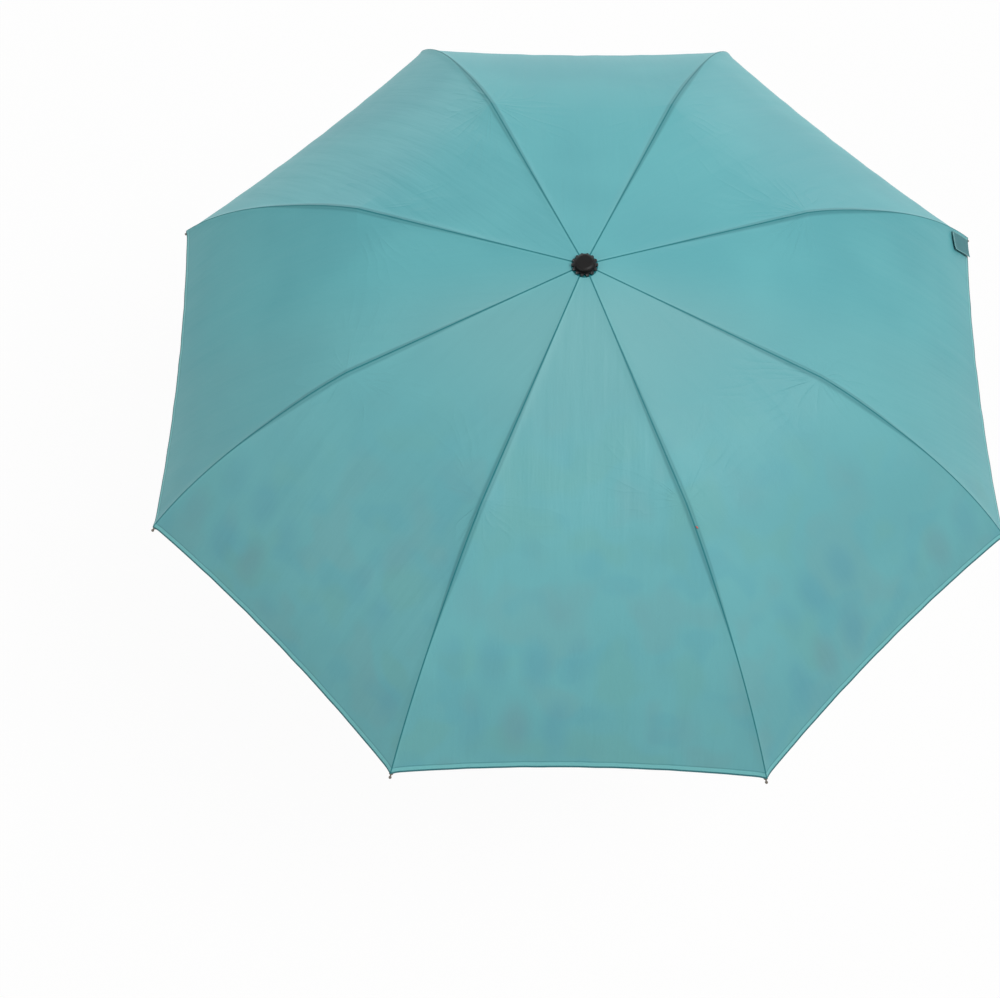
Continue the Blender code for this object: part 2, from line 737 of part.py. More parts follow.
def build_shaft(finishes):
    """The tube, the slotted crown, its wire, the toothed washer, the cap and the runner stop."""
    tube_top = CROWN_HEIGHT + NOTCH_ABOVE
    tube = ring_outline(TUBE_BORE, TUBE_RADIUS, TUBE_FOOT, tube_top)
    place("shaft_tube", lathe("shaft_tube", tube), finishes["tube"])
    low = CROWN_HEIGHT - NOTCH_BELOW
    hub_low = CROWN_HEIGHT - NOTCH_HUB_BELOW
    notch = lathe(
        "crown_notch",
        [
            (NOTCH_BORE, tube_top),
            (NOTCH_RADIUS, tube_top),
            (NOTCH_RADIUS, low),
            (NOTCH_HUB_RADIUS, low),
            (NOTCH_HUB_RADIUS, hub_low),
            (NOTCH_BORE, hub_low),
        ],
    )
    cutters = slot_cutters(low - NOTCH_BELOW, tube_top + NOTCH_BELOW)
    cutters.append(wire_mesh("crown_tunnel", WIRE_TUNNEL_RADIUS, CROWN_HEIGHT))
    place("crown_notch", combine(notch, cutters, "DIFFERENCE"), finishes["plastic"])
    place("crown_wire", wire_mesh("crown_wire", WIRE_RADIUS, CROWN_HEIGHT), finishes["bright"])
    washer_low = COVER_TOP + CLOTH * HALF + CLEARANCE
    washer_high = washer_low + TOOTHED_HEIGHT
    washer = lathe("crown_washer", ring_outline(TOOTHED_BORE, WASHER_CORE_RADIUS, washer_low, washer_high))
    teeth = []
    for index in range(TOOTH_COUNT):
        angle = FULL_TURN * index / TOOTH_COUNT
        centre = Vector((TOOTH_CENTRE_RADIUS * math.cos(angle), TOOTH_CENTRE_RADIUS * math.sin(angle), 0))
        points = []
        for side in range(TOOTH_SIDES):
            around = angle + FULL_TURN * (side + HALF) / TOOTH_SIDES
            rim = Vector((math.cos(around), math.sin(around), 0)) * TOOTH_RADIUS
            points.append(centre + rim + Vector((0, 0, washer_low + WEB_LIFT)))
            points.append(centre + rim + Vector((0, 0, washer_high - TOOTH_DROP)))
            points.append(centre + rim * HALF + Vector((0, 0, washer_high - WEB_LIFT)))
        teeth.append(hull("tooth", points))
    place("crown_washer", combine(washer, teeth, "UNION"), finishes["plastic"])
    cap_low = washer_high + CLEARANCE
    cap_spigot = cap_low - CAP_SPIGOT_DEPTH
    cap = lathe(
        "crown_cap",
        [
            (0, cap_low + CAP_HEIGHT),
            (CAP_FLAT_RADIUS, cap_low + CAP_HEIGHT),
            (CAP_RADIUS - WEB_THICKNESS, cap_low + (CAP_HEIGHT + CAP_EDGE_HEIGHT) * HALF),
            (CAP_RADIUS, cap_low + CAP_EDGE_HEIGHT),
            (CAP_RADIUS, cap_low),
            (CAP_SPIGOT_RADIUS, cap_low),
            (CAP_SPIGOT_RADIUS, cap_spigot),
            (0, cap_spigot),
        ],
        closed=False,
    )
    place("crown_cap", cap, finishes["cap"])
    stop_low = RUNNER_HEIGHT + STOP_LIFT
    stop = ring_outline(STOP_BORE, STOP_RADIUS, stop_low, stop_low + STOP_HEIGHT)
    place("runner_stop", lathe("runner_stop", stop), finishes["plastic"])


def oval(depth_y, share, centre_z, room=0):
    """Points of the button's oval at this depth, drawn in by a share."""
    points = []
    for index in range(BUTTON_STEPS):
        angle = FULL_TURN * index / BUTTON_STEPS
        x = (BUTTON_HALF_WIDTH * share + room) * math.cos(angle)
        z = centre_z + (BUTTON_HALF_HEIGHT * share + room) * math.sin(angle)
        points.append(Vector((x, depth_y, z)))
    return points


def build_runner(finishes):
    """The sliding sleeve, its slotted collar and wire, the oval button and the red key."""
    top = RUNNER_HEIGHT
    sleeve_low = top - RUNNER_DROP
    sleeve_high = top - COLLAR_DROP - CLEARANCE
    tube_high = top + RUNNER_NOTCH_ABOVE
    sleeve = lathe(
        "runner_sleeve",
        [
            (RUNNER_BORE, tube_high),
            (RUNNER_TUBE_RADIUS, tube_high),
            (RUNNER_TUBE_RADIUS, sleeve_high),
            (RUNNER_RADIUS, sleeve_high),
            (RUNNER_RADIUS, sleeve_low + RUNNER_EDGE),
            (RUNNER_RADIUS - RUNNER_EDGE, sleeve_low),
            (RUNNER_BORE, sleeve_low),
        ],
    )
    centre = top - BUTTON_CENTRE_DROP
    window = oval(BUTTON_CUT_BACK_Y, ONE, centre, CLEARANCE)
    window += oval(BUTTON_CUT_FRONT_Y, ONE, centre, CLEARANCE)
    pocket = box(
        (KEY_POCKET_OUTER_X, KEY_LOW_Y - KEY_TRAVEL_ROOM, centre - KEY_HALF_HEIGHT - CLEARANCE),
        (KEY_POCKET_FLOOR_X, KEY_HIGH_Y + CLEARANCE, centre + KEY_HALF_HEIGHT + CLEARANCE),
    )
    cut = combine(sleeve, [hull("window", window), hull("pocket", pocket)], "DIFFERENCE")
    place("runner_sleeve", cut, finishes["plastic"])
    lip = top - COLLAR_LIP_DROP
    collar = lathe(
        "runner_collar",
        [
            (RUNNER_FLANGE_BORE, tube_high),
            (RUNNER_NOTCH_RADIUS, tube_high),
            (RUNNER_NOTCH_RADIUS, lip),
            (COLLAR_LIP_RADIUS, lip),
            (COLLAR_LIP_RADIUS, lip - COLLAR_LIP_EDGE),
            (COLLAR_WAIST_RADIUS, top - COLLAR_WAIST_DROP),
            (COLLAR_LOW_RADIUS, top - COLLAR_DROP),
            (RUNNER_FLANGE_BORE, top - COLLAR_DROP),
        ],
    )
    cutters = slot_cutters(top - RUNNER_SLOT_DROP, tube_high + NOTCH_BELOW)
    cutters.append(wire_mesh("runner_tunnel", WIRE_TUNNEL_RADIUS, top))
    place("runner_collar", combine(collar, cutters, "DIFFERENCE"), finishes["plastic"])
    place("runner_wire", wire_mesh("runner_wire", WIRE_RADIUS, top), finishes["bright"])
    button = oval(BUTTON_BACK_Y, ONE, centre) + oval(BUTTON_RIM_Y, ONE, centre)
    button += oval(BUTTON_FRONT_Y, BUTTON_FRONT_SHARE, centre)
    place("release_button", hull("release_button", button), finishes["cap"])
    key = helper(
        hull(
            "red_key",
            box(
                (KEY_OUTER_X, KEY_LOW_Y, centre - KEY_HALF_HEIGHT),
                (KEY_INNER_X, KEY_HIGH_Y, centre + KEY_HALF_HEIGHT),
            ),
        )
    )
    bevel = key.modifiers.new("round", "BEVEL")
    bevel.width = KEY_BEVEL
    bevel.segments = KEY_BEVEL_STEPS
    place("red_key", baked(key), finishes["key"])


def smooth_step(value):
    """A soft rise from nought to one."""
    held = min(max(value, 0), ONE)
    return held * held * (SMOOTH_CUBE - SMOOTH_SQUARE * held)


def cover_line():
    """The outer canopy's ridge over an arm and its rib: radius and height."""
    line = [(COVER_HOLE, COVER_TOP), (COVER_FLAT_RADIUS, COVER_TOP)]
    joint_along = COVER_RIB_SHARES[0] * COVER_END
    over_joint = cover_point(joint_along)
    for index in range(ONE, COVER_ARM_STEPS + ONE):
        part = index / (COVER_ARM_STEPS + ONE)
        radius = COVER_FLAT_RADIUS + (over_joint.x - COVER_FLAT_RADIUS) * part
        height = COVER_TOP + (radius - COVER_FLAT_RADIUS) * math.tan(ARM_OPEN_SLOPE)
        line.append((radius, height))
    for share in COVER_RIB_SHARES:
        point = cover_point(share * COVER_END)
        line.append((point.x, point.z))
    return line


def cover_point(along):
    """The ridge over the rod, this far beyond the joint."""
    share = smooth_step(along / (COVER_EASE_SHARE * RIB_LENGTH))
    lift = COVER_JOINT_LIFT + (COVER_TIP_LIFT - COVER_JOINT_LIFT) * share
    return rod_point(along) + rod_normal(along) * lift


def lining_line():
    """The inner canopy's line under a link and its rib: radius and height."""
    start = Vector((LINING_INNER_RADIUS, 0, RUNNER_HEIGHT - COLLAR_LIP_DROP + LINING_LIFT_FROM_LIP))
    below = polar(LINING_LINK_DROP, LINK_OPEN_SLOPE - QUARTER_TURN)
    kink = UPPER_JOINT + polar(LINING_KINK_DROP, RIB_OPEN_SLOPE - QUARTER_TURN)
    kink = kink + polar(LINING_KINK_LEAD, RIB_OPEN_SLOPE)
    line = [(start.x, start.z)]
    inner = RUNNER_PIVOT + polar(SLOT_CUT_RADIUS, LINK_OPEN_SLOPE) + below
    for index in range(LINING_ARM_STEPS):
        point = inner.lerp(kink, index / LINING_ARM_STEPS)
        line.append((point.x, point.z))
    line.append((kink.x, kink.z))
    under = rod_point(LINING_SOCKET_END) - rod_normal(LINING_SOCKET_END) * LINING_SOCKET_DROP
    line.append((under.x, under.z))
    for share in LINING_RIB_SHARES:
        along = share * LINING_END
        point = rod_point(along) - rod_normal(along) * LINING_ROD_DROP
        line.append((point.x, point.z))
    return line


def cloth_mesh(name, line, dips, scallops):
    """A closed thin cloth with one gore between each two ribs, sagging between them."""
    builder = bmesh.new()
    rows = []
    for index, (radius, height) in enumerate(line):
        before = line[max(index - ONE, 0)]
        after = line[min(index + ONE, len(line) - ONE)]
        run = Vector(((after[0] - before[0]) * GORE_COS, after[ONE] - before[ONE])).normalized()
        row = []
        for number in range(RIB_COUNT):
            middle = FIRST_RIB_TURN + (number + HALF) * RIB_PITCH
            for step in range(GORE_STEPS):
                across = (step + step) / GORE_STEPS - ONE
                bulge = ONE - across * across
                outward = radius * GORE_COS + run.y * dips[index] * bulge
                outward -= run.x * scallops[index] * bulge
                up = height - run.x * dips[index] * bulge - run.y * scallops[index] * bulge
                aside = across * radius * GORE_SIN
                x = outward * math.cos(middle) - aside * math.sin(middle)
                y = outward * math.sin(middle) + aside * math.cos(middle)
                row.append(builder.verts.new((x, y, up)))
        rows.append(row)
    for inner, outer in zip(rows, rows[ONE:]):
        for index, corner in enumerate(inner):
            following = (index + ONE) % len(inner)
            builder.faces.new((corner, outer[index], outer[following], inner[following]))
    bmesh.ops.recalc_face_normals(builder, faces=builder.faces)
    mesh = bpy.data.meshes.new(name + "_surface")
    builder.to_mesh(mesh)
    builder.free()
    item = helper(mesh)
    modifier = item.modifiers.new("cloth", "SOLIDIFY")
    modifier.thickness = CLOTH
    modifier.offset = 0
    done = baked(item)
    done.name = name
    return done


def build_cloth(finishes):
    """The two canopies, the closing strap and the bare tab near one tip."""
    cover = cover_line()
    reach = cover[-ONE][0]
    dips = [COVER_DIP * (radius / reach) ** DIP_POWER for radius, height in cover]
    scallops = [COVER_SCALLOP * smooth_step((radius / reach - HALF) / HALF) for radius, height in cover]
    dips[0] = dips[ONE] = 0
    place("outer_canopy", cloth_mesh("outer_canopy", cover, dips, scallops), finishes["cover"])
    lining = lining_line()
    reach = lining[-ONE][0]
    bend = UPPER_JOINT.x
    dips = []
    for radius, height in lining:
        share = smooth_step((radius - bend) / (reach - bend))
        depth = LINING_LINK_DIP + (LINING_DIP - LINING_LINK_DIP) * share
        dips.append(depth * (radius / reach) ** DIP_POWER)
    dips[0] = 0
    scallops = [LINING_SCALLOP * smooth_step((radius - bend) / (reach - bend)) for radius, height in lining]
    place("inner_canopy", cloth_mesh("inner_canopy", lining, dips, scallops), finishes["print"])
    build_strap(finishes)
    build_tab(finishes)


def build_strap(finishes):
    """The closing strap, which hangs from the inner canopy under one rib."""
    hang = rod_point(STRAP_AT) - Vector((0, 0, STRAP_DROP))
    builder = bmesh.new()
    rows = []
    for index in range(STRAP_STEPS + ONE):
        part = index / STRAP_STEPS
        sway = STRAP_SWAY * math.sin(part * math.pi)
        z = hang.z - STRAP_LENGTH * part
        row = [builder.verts.new((hang.x + sway, side * STRAP_HALF_WIDTH, z)) for side in (-ONE, ONE)]
        rows.append(row)
    for upper, lower in zip(rows, rows[ONE:]):
        builder.faces.new((upper[0], upper[ONE], lower[ONE], lower[0]))
    mesh = bpy.data.meshes.new("strap_surface")
    builder.to_mesh(mesh)
    builder.free()
    mesh.transform(Matrix.Rotation(turn_of(STRAP_RIB), MATRIX_SIZE, "Z"))
    item = helper(mesh)
    modifier = item.modifiers.new("cloth", "SOLIDIFY")
    modifier.thickness = STRAP_THICKNESS
    modifier.offset = 0
    place("closing_strap", baked(item), finishes["print"])


def build_tab(finishes):
    """The bare tab that lies on the outer canopy beside one rib, near its tip."""
    slope = rib_slope(TAB_AT)
    ridge = cover_point(TAB_AT)
    first_bulge = ONE - (ONE - (ONE + ONE) / GORE_STEPS) ** (ONE + ONE)
    first_width = (ridge.x * GORE_SIN + ridge.x * GORE_SIN) / GORE_STEPS
    fall = math.atan(-math.sin(slope) * GORE_SIN / GORE_COS)
    fall += math.atan(COVER_DIP * first_bulge / first_width)
    tab = hull(
        "rim_tab",
        box(
            (-TAB_HALF_LENGTH, -TAB_OFFSET - TAB_HALF_WIDTH, 0),
            (TAB_HALF_LENGTH, TAB_HALF_WIDTH - TAB_OFFSET, TAB_THICKNESS),
        ),
    )
    lift = rod_normal(TAB_AT) * (CLOTH * HALF + CLEARANCE)
    seat = at_rib(TAB_RIB, ridge + lift, slope) @ Matrix.Rotation(fall, MATRIX_SIZE, "X")
    place("rim_tab", tab, finishes["tab"], seat, smooth=False)


clear_scene()
UMBRELLA = new_collection("umbrella")
HELPERS = new_collection("cutters")
HELPERS.hide_render = True
FINISHES = {
    "grip": finish("soft_black_plastic", SOFT_BLACK),
    "plastic": finish("black_plastic", BLACK_PLASTIC),
    "cap": finish("glossy_black_plastic", BLACK_PLASTIC),
    "steel": finish("black_steel", BLACK_STEEL),
    "tube": finish("black_tube", BLACK_STEEL),
    "bright": finish("bright_wire", BRIGHT_STEEL),
    "tip": finish("bright_tip", BRIGHT_STEEL),
    "rod": finish("fibreglass_rod", ROD_GREY),
    "key": finish("red_plastic", KEY_RED),
    "cover": finish("teal_cloth", TEAL_CLOTH),
    "print": finish("printed_cloth", PRINT_CLOTH),
    "tab": finish("dark_teal_cloth", DARK_TEAL_CLOTH),
}
build_handle(FINISHES)
build_shaft(FINISHES)
build_runner(FINISHES)
build_ribs(FINISHES)
build_cloth(FINISHES)
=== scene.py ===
"""Looks, light and camera for the open inverted umbrella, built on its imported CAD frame."""

import logging
from bisect import bisect_right
from dataclasses import dataclass
from enum import Enum
from functools import lru_cache, reduce
from math import atan, copysign, cos, exp, pi, radians, sin, tau
from typing import Callable

import bmesh
import bpy
from mathutils import Matrix, Vector


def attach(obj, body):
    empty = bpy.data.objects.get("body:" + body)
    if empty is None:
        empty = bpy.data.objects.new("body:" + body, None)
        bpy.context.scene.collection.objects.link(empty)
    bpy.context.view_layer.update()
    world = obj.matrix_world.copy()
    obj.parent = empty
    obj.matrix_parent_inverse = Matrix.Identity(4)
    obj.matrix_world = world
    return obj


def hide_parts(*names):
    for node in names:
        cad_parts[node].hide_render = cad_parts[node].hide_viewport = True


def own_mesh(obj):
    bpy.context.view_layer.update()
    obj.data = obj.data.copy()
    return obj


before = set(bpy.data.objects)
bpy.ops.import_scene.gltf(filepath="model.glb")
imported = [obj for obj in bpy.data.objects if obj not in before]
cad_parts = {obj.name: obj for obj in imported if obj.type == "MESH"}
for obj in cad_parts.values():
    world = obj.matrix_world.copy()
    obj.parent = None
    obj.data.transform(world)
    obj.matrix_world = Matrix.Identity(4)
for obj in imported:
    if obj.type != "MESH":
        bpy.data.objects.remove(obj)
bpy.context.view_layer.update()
LOG = logging.getLogger("umbrella")

Socket = bpy.types.NodeSocket
Material = bpy.types.Material
Piece = bpy.types.Object
Sheet = bmesh.types.BMesh
Colour = tuple[float, float, float, float]
Pair = tuple[float, float]

MM = 0.001
RIB_COUNT = 8
GORE_TURN = radians(45.0)
HALF_GORE = GORE_TURN / 2
GORE_COS = cos(HALF_GORE)
GORE_SIN = sin(HALF_GORE)
QUARTER_TURN = radians(90.0)
SHARP_ANGLE = radians(38.0)

# The sizes of an open rib set, as the CAD source has them.
CROWN_HEIGHT = 672.0 * MM
RUNNER_HEIGHT = 561.48 * MM
PIVOT_RADIUS = 12.0 * MM
ARM_LENGTH = 250.9 * MM
ARM_OPEN = radians(-10.83)
LINK_OPEN = radians(12.7)
RIB_OPEN = radians(-19.1)
SLOPE_BEND = -2.122
SLOPE_EASE = 0.644
ROD_DROP = 3.2 * MM
RIB_LENGTH = 318.3 * MM
FLEX_AT = 130.0 * MM

# The canopy cloth, and the least flat size of a piece of cloth.
CLOTH = 0.45 * MM
RIM_DIP = 5.0 * MM
JOINT_ALONG = 257.8 * MM
LEAST_FLAT = 10.5 * MM

# How far along a line its direction is measured, how much closer together a grid's
# columns lie beside the rib, and the share that a side panel keeps.
HEADING_REACH = 4.0 * MM
EVEN_SHARE = 0.3
SIDE_KEEP = 0.1

# How far a panel's end leans outward between ribs, and reaches in behind its neighbour.
FLEX_LEAN = 44.0 * MM
JOINT_LEAN = 12.0 * MM
JOINT_TUCK = 21.0 * MM
FLEX_TUCK = 24.0 * MM


class Canopy(Enum):
    """The two cloth layers of the umbrella."""

    COVER = "cover"
    LINING = "lining"


def polar(length: float, angle: float) -> Vector:
    """A step of this length at this angle, in a rib's upright plane."""
    return Vector((length * cos(angle), length * sin(angle)))


def smooth_step(share: float) -> float:
    """Eases from 0 to 1 as share goes from 0 to 1."""
    held = max(0.0, min(1.0, share))
    return held * held * (3 - 2 * held)


def blend_of(first: float, second: float, share: float) -> float:
    """The value that lies this share of the way from first to second."""
    return first + (second - first) * share


def rib_turn(number: int) -> float:
    """The angle of a numbered rib about the shaft."""
    return HALF_GORE + GORE_TURN * (number - 1)


def turn_to(number: int) -> Matrix:
    """The turn that takes a rib's upright plane to its place about the shaft."""
    return Matrix.Rotation(rib_turn(number), 4, "Z")


def rod_slope(along: float) -> float:
    """The slope of the bent rod this far along it."""
    return RIB_OPEN + SLOPE_BEND * along + SLOPE_EASE * along * along


def rod_normal(along: float) -> Vector:
    """The direction square to the rod and away from the shaft's lower end."""
    return polar(1.0, rod_slope(along) + QUARTER_TURN)


class Line:
    """A smooth path in a rib's upright plane, as points x outward and y up."""

    def __init__(self, points: list[Vector]) -> None:
        """Keeps the points and their distances along the path.

        Args:
            points: The path's points in order.
        """
        self.points = points
        self.reach = [0.0]
        for first, second in zip(points, points[1:]):
            self.reach.append(self.reach[-1] + (second - first).length)

    @property
    def length(self) -> float:
        """The whole length of the path."""
        return self.reach[-1]

    def at(self, distance: float) -> Vector:
        """Finds a point of the path.

        Args:
            distance: How far along it the point lies.

        Returns:
            The point, which is one of the path's ends where the distance is beyond it.
        """
        held = max(0.0, min(self.length, distance))
        index = min(bisect_right(self.reach, held), len(self.points) - 1)
        span = self.reach[index] - self.reach[index - 1]
        share = (held - self.reach[index - 1]) / span
        return self.points[index - 1].lerp(self.points[index], share)

    def heading(self, distance: float, reach: float = HEADING_REACH) -> Vector:
        """The direction of the path there, measured along the middle of a gore."""
        step = self.at(distance + reach) - self.at(distance - reach)
        return Vector((step.x * GORE_COS, step.y)).normalized()

    def eased(self, distance: float, reach: float) -> Vector:
        """Finds a point of the path with its bends rounded off.

        Args:
            distance: How far along the path the point lies.
            reach: How far to each side the path is taken into the mean.

        Returns:
            The point.
        """
        held = min(reach, distance, self.length - distance)
        steps = 6
        total, weight = Vector((0.0, 0.0)), 0.0
        for index in range(-steps, steps + 1):
            share = steps + 1 - abs(index)
            total += self.at(distance + held * index / steps) * share
            weight += share
        return total / weight

    def nearest(self, point: Vector) -> float:
        """The distance along the path at which it comes nearest to a point."""
        index = min(range(len(self.points)), key=lambda i: (self.points[i] - point).length)
        return self.reach[index]

    def at_radius(self, radius: float) -> float:
        """Finds where the path reaches a radius.

        Args:
            radius: The distance from the shaft's middle line.

        Returns:
            The distance along the path.
        """
        low, high = 0.0, self.length
        while high - low > 0.001 * MM:
            middle = (low + high) / 2
            low, high = (middle, high) if self.at(middle).x < radius else (low, middle)
        return (low + high) / 2


def rod_line() -> Line:
    """Lays out the middle line of a bent rib rod.

    Returns:
        The line, from the joint to the rod's end.
    """
    steps = 240
    points = [JOINT + polar(ROD_DROP, RIB_OPEN - QUARTER_TURN)]
    for index in range(steps):
        middle = RIB_LENGTH * (index + 0.5) / steps
        points.append(points[-1] + polar(RIB_LENGTH / steps, rod_slope(middle)))
    return Line(points)


JOINT = Vector((PIVOT_RADIUS, CROWN_HEIGHT)) + polar(ARM_LENGTH, ARM_OPEN)
ROD = rod_line()


@dataclass(frozen=True)
class Station:
    """What a canopy's line does at one distance along it, over a rib and between ribs."""

    place: Vector
    eased: Vector
    run: Vector
    eased_run: Vector


@dataclass(frozen=True)
class Layer:
    """One canopy's shape: its line over the ribs and how its gores hang between them.

    The cloth is free of the hub from free_from on, over free_over. Between the ribs it then
    dips by joint_dip, and by rim_dip at the rim, and from draw_from on it is drawn in, by
    rim_draw at the rim.
    """

    kind: Canopy
    line: Line
    joint_dip: float
    rim_dip: float
    free_from: float
    free_over: float
    draw_from: float
    rim_draw: float
    crest: float
    ridge: float
    ridge_width: float
    ripple: float
    wave: float
    rounding: float
    dip_power: float = 1.6
    between_rise: float = 1.6
    taut_from: float = 20 * MM
    taut_over: float = 90 * MM
    still_over: float = 20 * MM
    swell_from: float = 0.25
    gore_phase: float = 1.7
    rim_phase: float = 5.0
    second_height: float = 0.6
    second_length: float = 0.57
    crest_width: float = 60 * MM
    eased_heading: float = 0.7

    @property
    def reach(self) -> float:
        """The radius of the canopy's rim at a rib."""
        return self.line.at(self.line.length).x

    def dip(self, radius: float) -> float:
        """Finds how far the middle of a gore hangs below its ribs.

        Args:
            radius: The distance from the shaft's middle line.

        Returns:
            The depth.
        """
        spread = smooth_step((radius - JOINT.x) / (self.reach - JOINT.x))
        share = (radius / self.reach) ** self.dip_power
        free = smooth_step((radius - self.free_from) / self.free_over)
        return blend_of(self.joint_dip, self.rim_dip, spread) * share * free

    def scallop(self, radius: float) -> float:
        """How far the cloth is drawn in between the ribs."""
        share = (radius - self.draw_from) / (self.reach - self.draw_from)
        return self.rim_draw * smooth_step(share)

    def swing(self, gore: int, radius: float, lateral: float) -> float:
        """Finds the height of the cloth's small waves, of 1 and a lesser one.

        Args:
            gore: The gore's number.
            radius: The distance from the shaft's middle line.
            lateral: The distance from the gore's middle.

        Returns:
            The height, which ripple then scales.
        """
        phase = self.gore_phase * gore + self.rim_phase * radius / self.reach
        first = sin(tau * lateral / self.wave + phase)
        shorter = self.second_length * self.wave
        return first + self.second_height * sin(tau * lateral / shorter - 2 * phase)

    @lru_cache(maxsize=4096)
    def station(self, distance: float) -> Station:
        """Reads the line, as it is over a rib and as it is between two.

        Args:
            distance: How far along the line.

        Returns:
            The places and the directions there.
        """
        eased = self.line.eased(distance, self.rounding)
        away = (distance - JOINT_ALONG) / self.crest_width
        eased.y += self.crest * exp(-away * away)
        return Station(
            self.line.at(distance),
            eased,
            self.line.heading(distance),
            self.line.heading(
                distance, max(HEADING_REACH, self.eased_heading * self.rounding)
            ),
        )

    def point(self, number: int, distance: float, spread: float) -> tuple[Vector, float]:
        """Finds a point of the cloth beside one rib.

        Args:
            number: The rib.
            distance: How far along the canopy's line.
            spread: From -1 to 1, where 0 is the rib and the ends are gore middles.

        Returns:
            The point, and its distance from the rib across the cloth.
        """
        side = 1 if spread >= 0 else -1
        across = -side * (1 - abs(spread))
        middle = rib_turn(number) + side * HALF_GORE
        gore = (number + (0 if side > 0 else -1)) % RIB_COUNT
        bulge = 1 - across * across
        station = self.station(distance)
        between = smooth_step(self.between_rise * bulge)
        place = station.place.lerp(station.eased, between)
        run = station.run.lerp(station.eased_run, between).normalized()
        gap = abs(spread) * place.x * GORE_SIN
        lateral = across * place.x * GORE_SIN
        hang = self.dip(place.x) * bulge
        tight = smooth_step((place.x - self.taut_from) / self.taut_over)
        hang += self.ridge * tight * (1 - exp(-((gap / self.ridge_width) ** 2)))
        still = self.swell_from * self.reach
        swell = smooth_step((place.x - still) / (self.reach - still))
        loose = swell * bulge * smooth_step(gap / self.still_over)
        hang += self.ripple * loose * self.swing(gore, place.x, lateral)
        draw = self.scallop(place.x) * bulge
        outward = place.x * GORE_COS + run.y * hang - run.x * draw
        height = place.y - run.x * hang - run.y * draw
        x = outward * cos(middle) - lateral * sin(middle)
        y = outward * sin(middle) + lateral * cos(middle)
        return Vector((x, y, height)), gap * side


@dataclass(frozen=True)
class Panel:
    """One piece of a canopy that moves with one bar of one rib set.

    Between the ribs its two ends may lean outward, and its start may be tucked under the
    piece before it, so that the folded cloth has no gap there.
    """

    part: str
    body: str
    start: float
    end: float
    low: float
    high: float
    keep: float
    tilt: float = 0.0
    row_step: float = 5.2 * MM
    columns: int = 34
    start_lean: float = 0.0
    end_lean: float = 0.0
    tuck: float = 0.0
    tuck_lift: float = 0.8 * MM
    tuck_over: float = 3 * MM

    def span(self, spread: float) -> Pair:
        """Where the panel starts and ends this far from its rib."""
        start = self.start + (self.start_lean - self.tuck) * abs(spread)
        return start, self.end + self.end_lean * abs(spread)

    def lift(self, spread: float, distance: float) -> float:
        """How far the cloth lies above the piece that it is tucked under."""
        edge = self.start + self.start_lean * abs(spread)
        return (
            self.tuck_lift * smooth_step((edge - distance) / self.tuck_over)
            if self.tuck
            else 0.0
        )

    @property
    def length(self) -> float:
        """The mean length along the canopy's line."""
        start, end = self.span(0.5)
        return end - start

    @property
    def side(self) -> int:
        """Which side of the rib the panel covers: -1, 1, or 0 for both."""
        return 0 if self.low < 0 < self.high else (1 if self.high > 0 else -1)


def both_sides(part: str, body: str, span: Pair, tilt: float, **ends: float) -> list[Panel]:
    """The two panels beside a rib over one stretch of the canopy's line."""
    sides = (("left", 0.0, 1.0), ("right", -1.0, 0.0))
    return [
        Panel(f"{part}_{side}", body, *span, low, high, SIDE_KEEP, tilt, **ends)
        for side, low, high in sides
    ]


@dataclass(frozen=True)
class OuterPattern:
    """The outer canopy: its line over a rib, its shape, and how the bars share it out."""

    hole: float = 6.3 * MM
    clamp: float = 13.6 * MM
    centre_end: float = 13.7 * MM
    height: float = 675.65 * MM
    end: float = 307.5 * MM
    joint_lift: float = 6.9 * MM
    lift: float = 3.3 * MM
    settled: float = 0.35
    crown_end: float = 60 * MM
    rib_tilt: float = radians(17.0)
    rim_tilt: float = radians(19.5)

    def point(self, along: float) -> Vector:
        """Where the cloth lies above this point of the rod."""
        share = smooth_step(along / (self.settled * RIB_LENGTH))
        return ROD.at(along) + rod_normal(along) * blend_of(self.joint_lift, self.lift, share)

    def line(self) -> Line:
        """Lays out the cloth's line over one rib.

        Returns:
            The line, from the crown to the rim.
        """
        steps = 150
        points = [Vector((radius, self.height)) for radius in (self.hole, self.clamp)]
        points += [self.point(self.end * index / steps) for index in range(steps + 1)]
        return Line(points)

    def layer(self) -> Layer:
        """The shape of the whole cloth."""
        line = self.line()
        return Layer(
            Canopy.COVER, line,
            joint_dip=RIM_DIP, rim_dip=RIM_DIP, free_from=14 * MM, free_over=40 * MM,
            draw_from=line.at(line.length).x / 2, rim_draw=6.5 * MM, crest=1.5 * MM,
            ridge=1.3 * MM, ridge_width=5.5 * MM, ripple=0.2 * MM, wave=52 * MM,
            rounding=90 * MM,
        )

    def panels(self, line: Line) -> list[Panel]:
        """Shares the cloth out among the moving bars of a rib set.

        Args:
            line: The cloth's line.

        Returns:
            The panels at one rib.
        """
        start, joint = line.reach[1:3]
        inner = line.at_radius(self.crown_end)
        flex = line.nearest(self.point(FLEX_AT))
        return [
            Panel("crown", "arm_{}", start, inner, -1.0, 1.0, keep=0.45, columns=12),
            Panel("arm", "arm_{}", inner, joint, -1.0, 1.0, keep=0.15),
            *both_sides("rib", "rib_inner_{}", (joint, flex), self.rib_tilt,
                        end_lean=FLEX_LEAN),
            *both_sides("rim", "rib_outer_{}", (flex, line.length), self.rim_tilt,
                        start_lean=FLEX_LEAN),
        ]


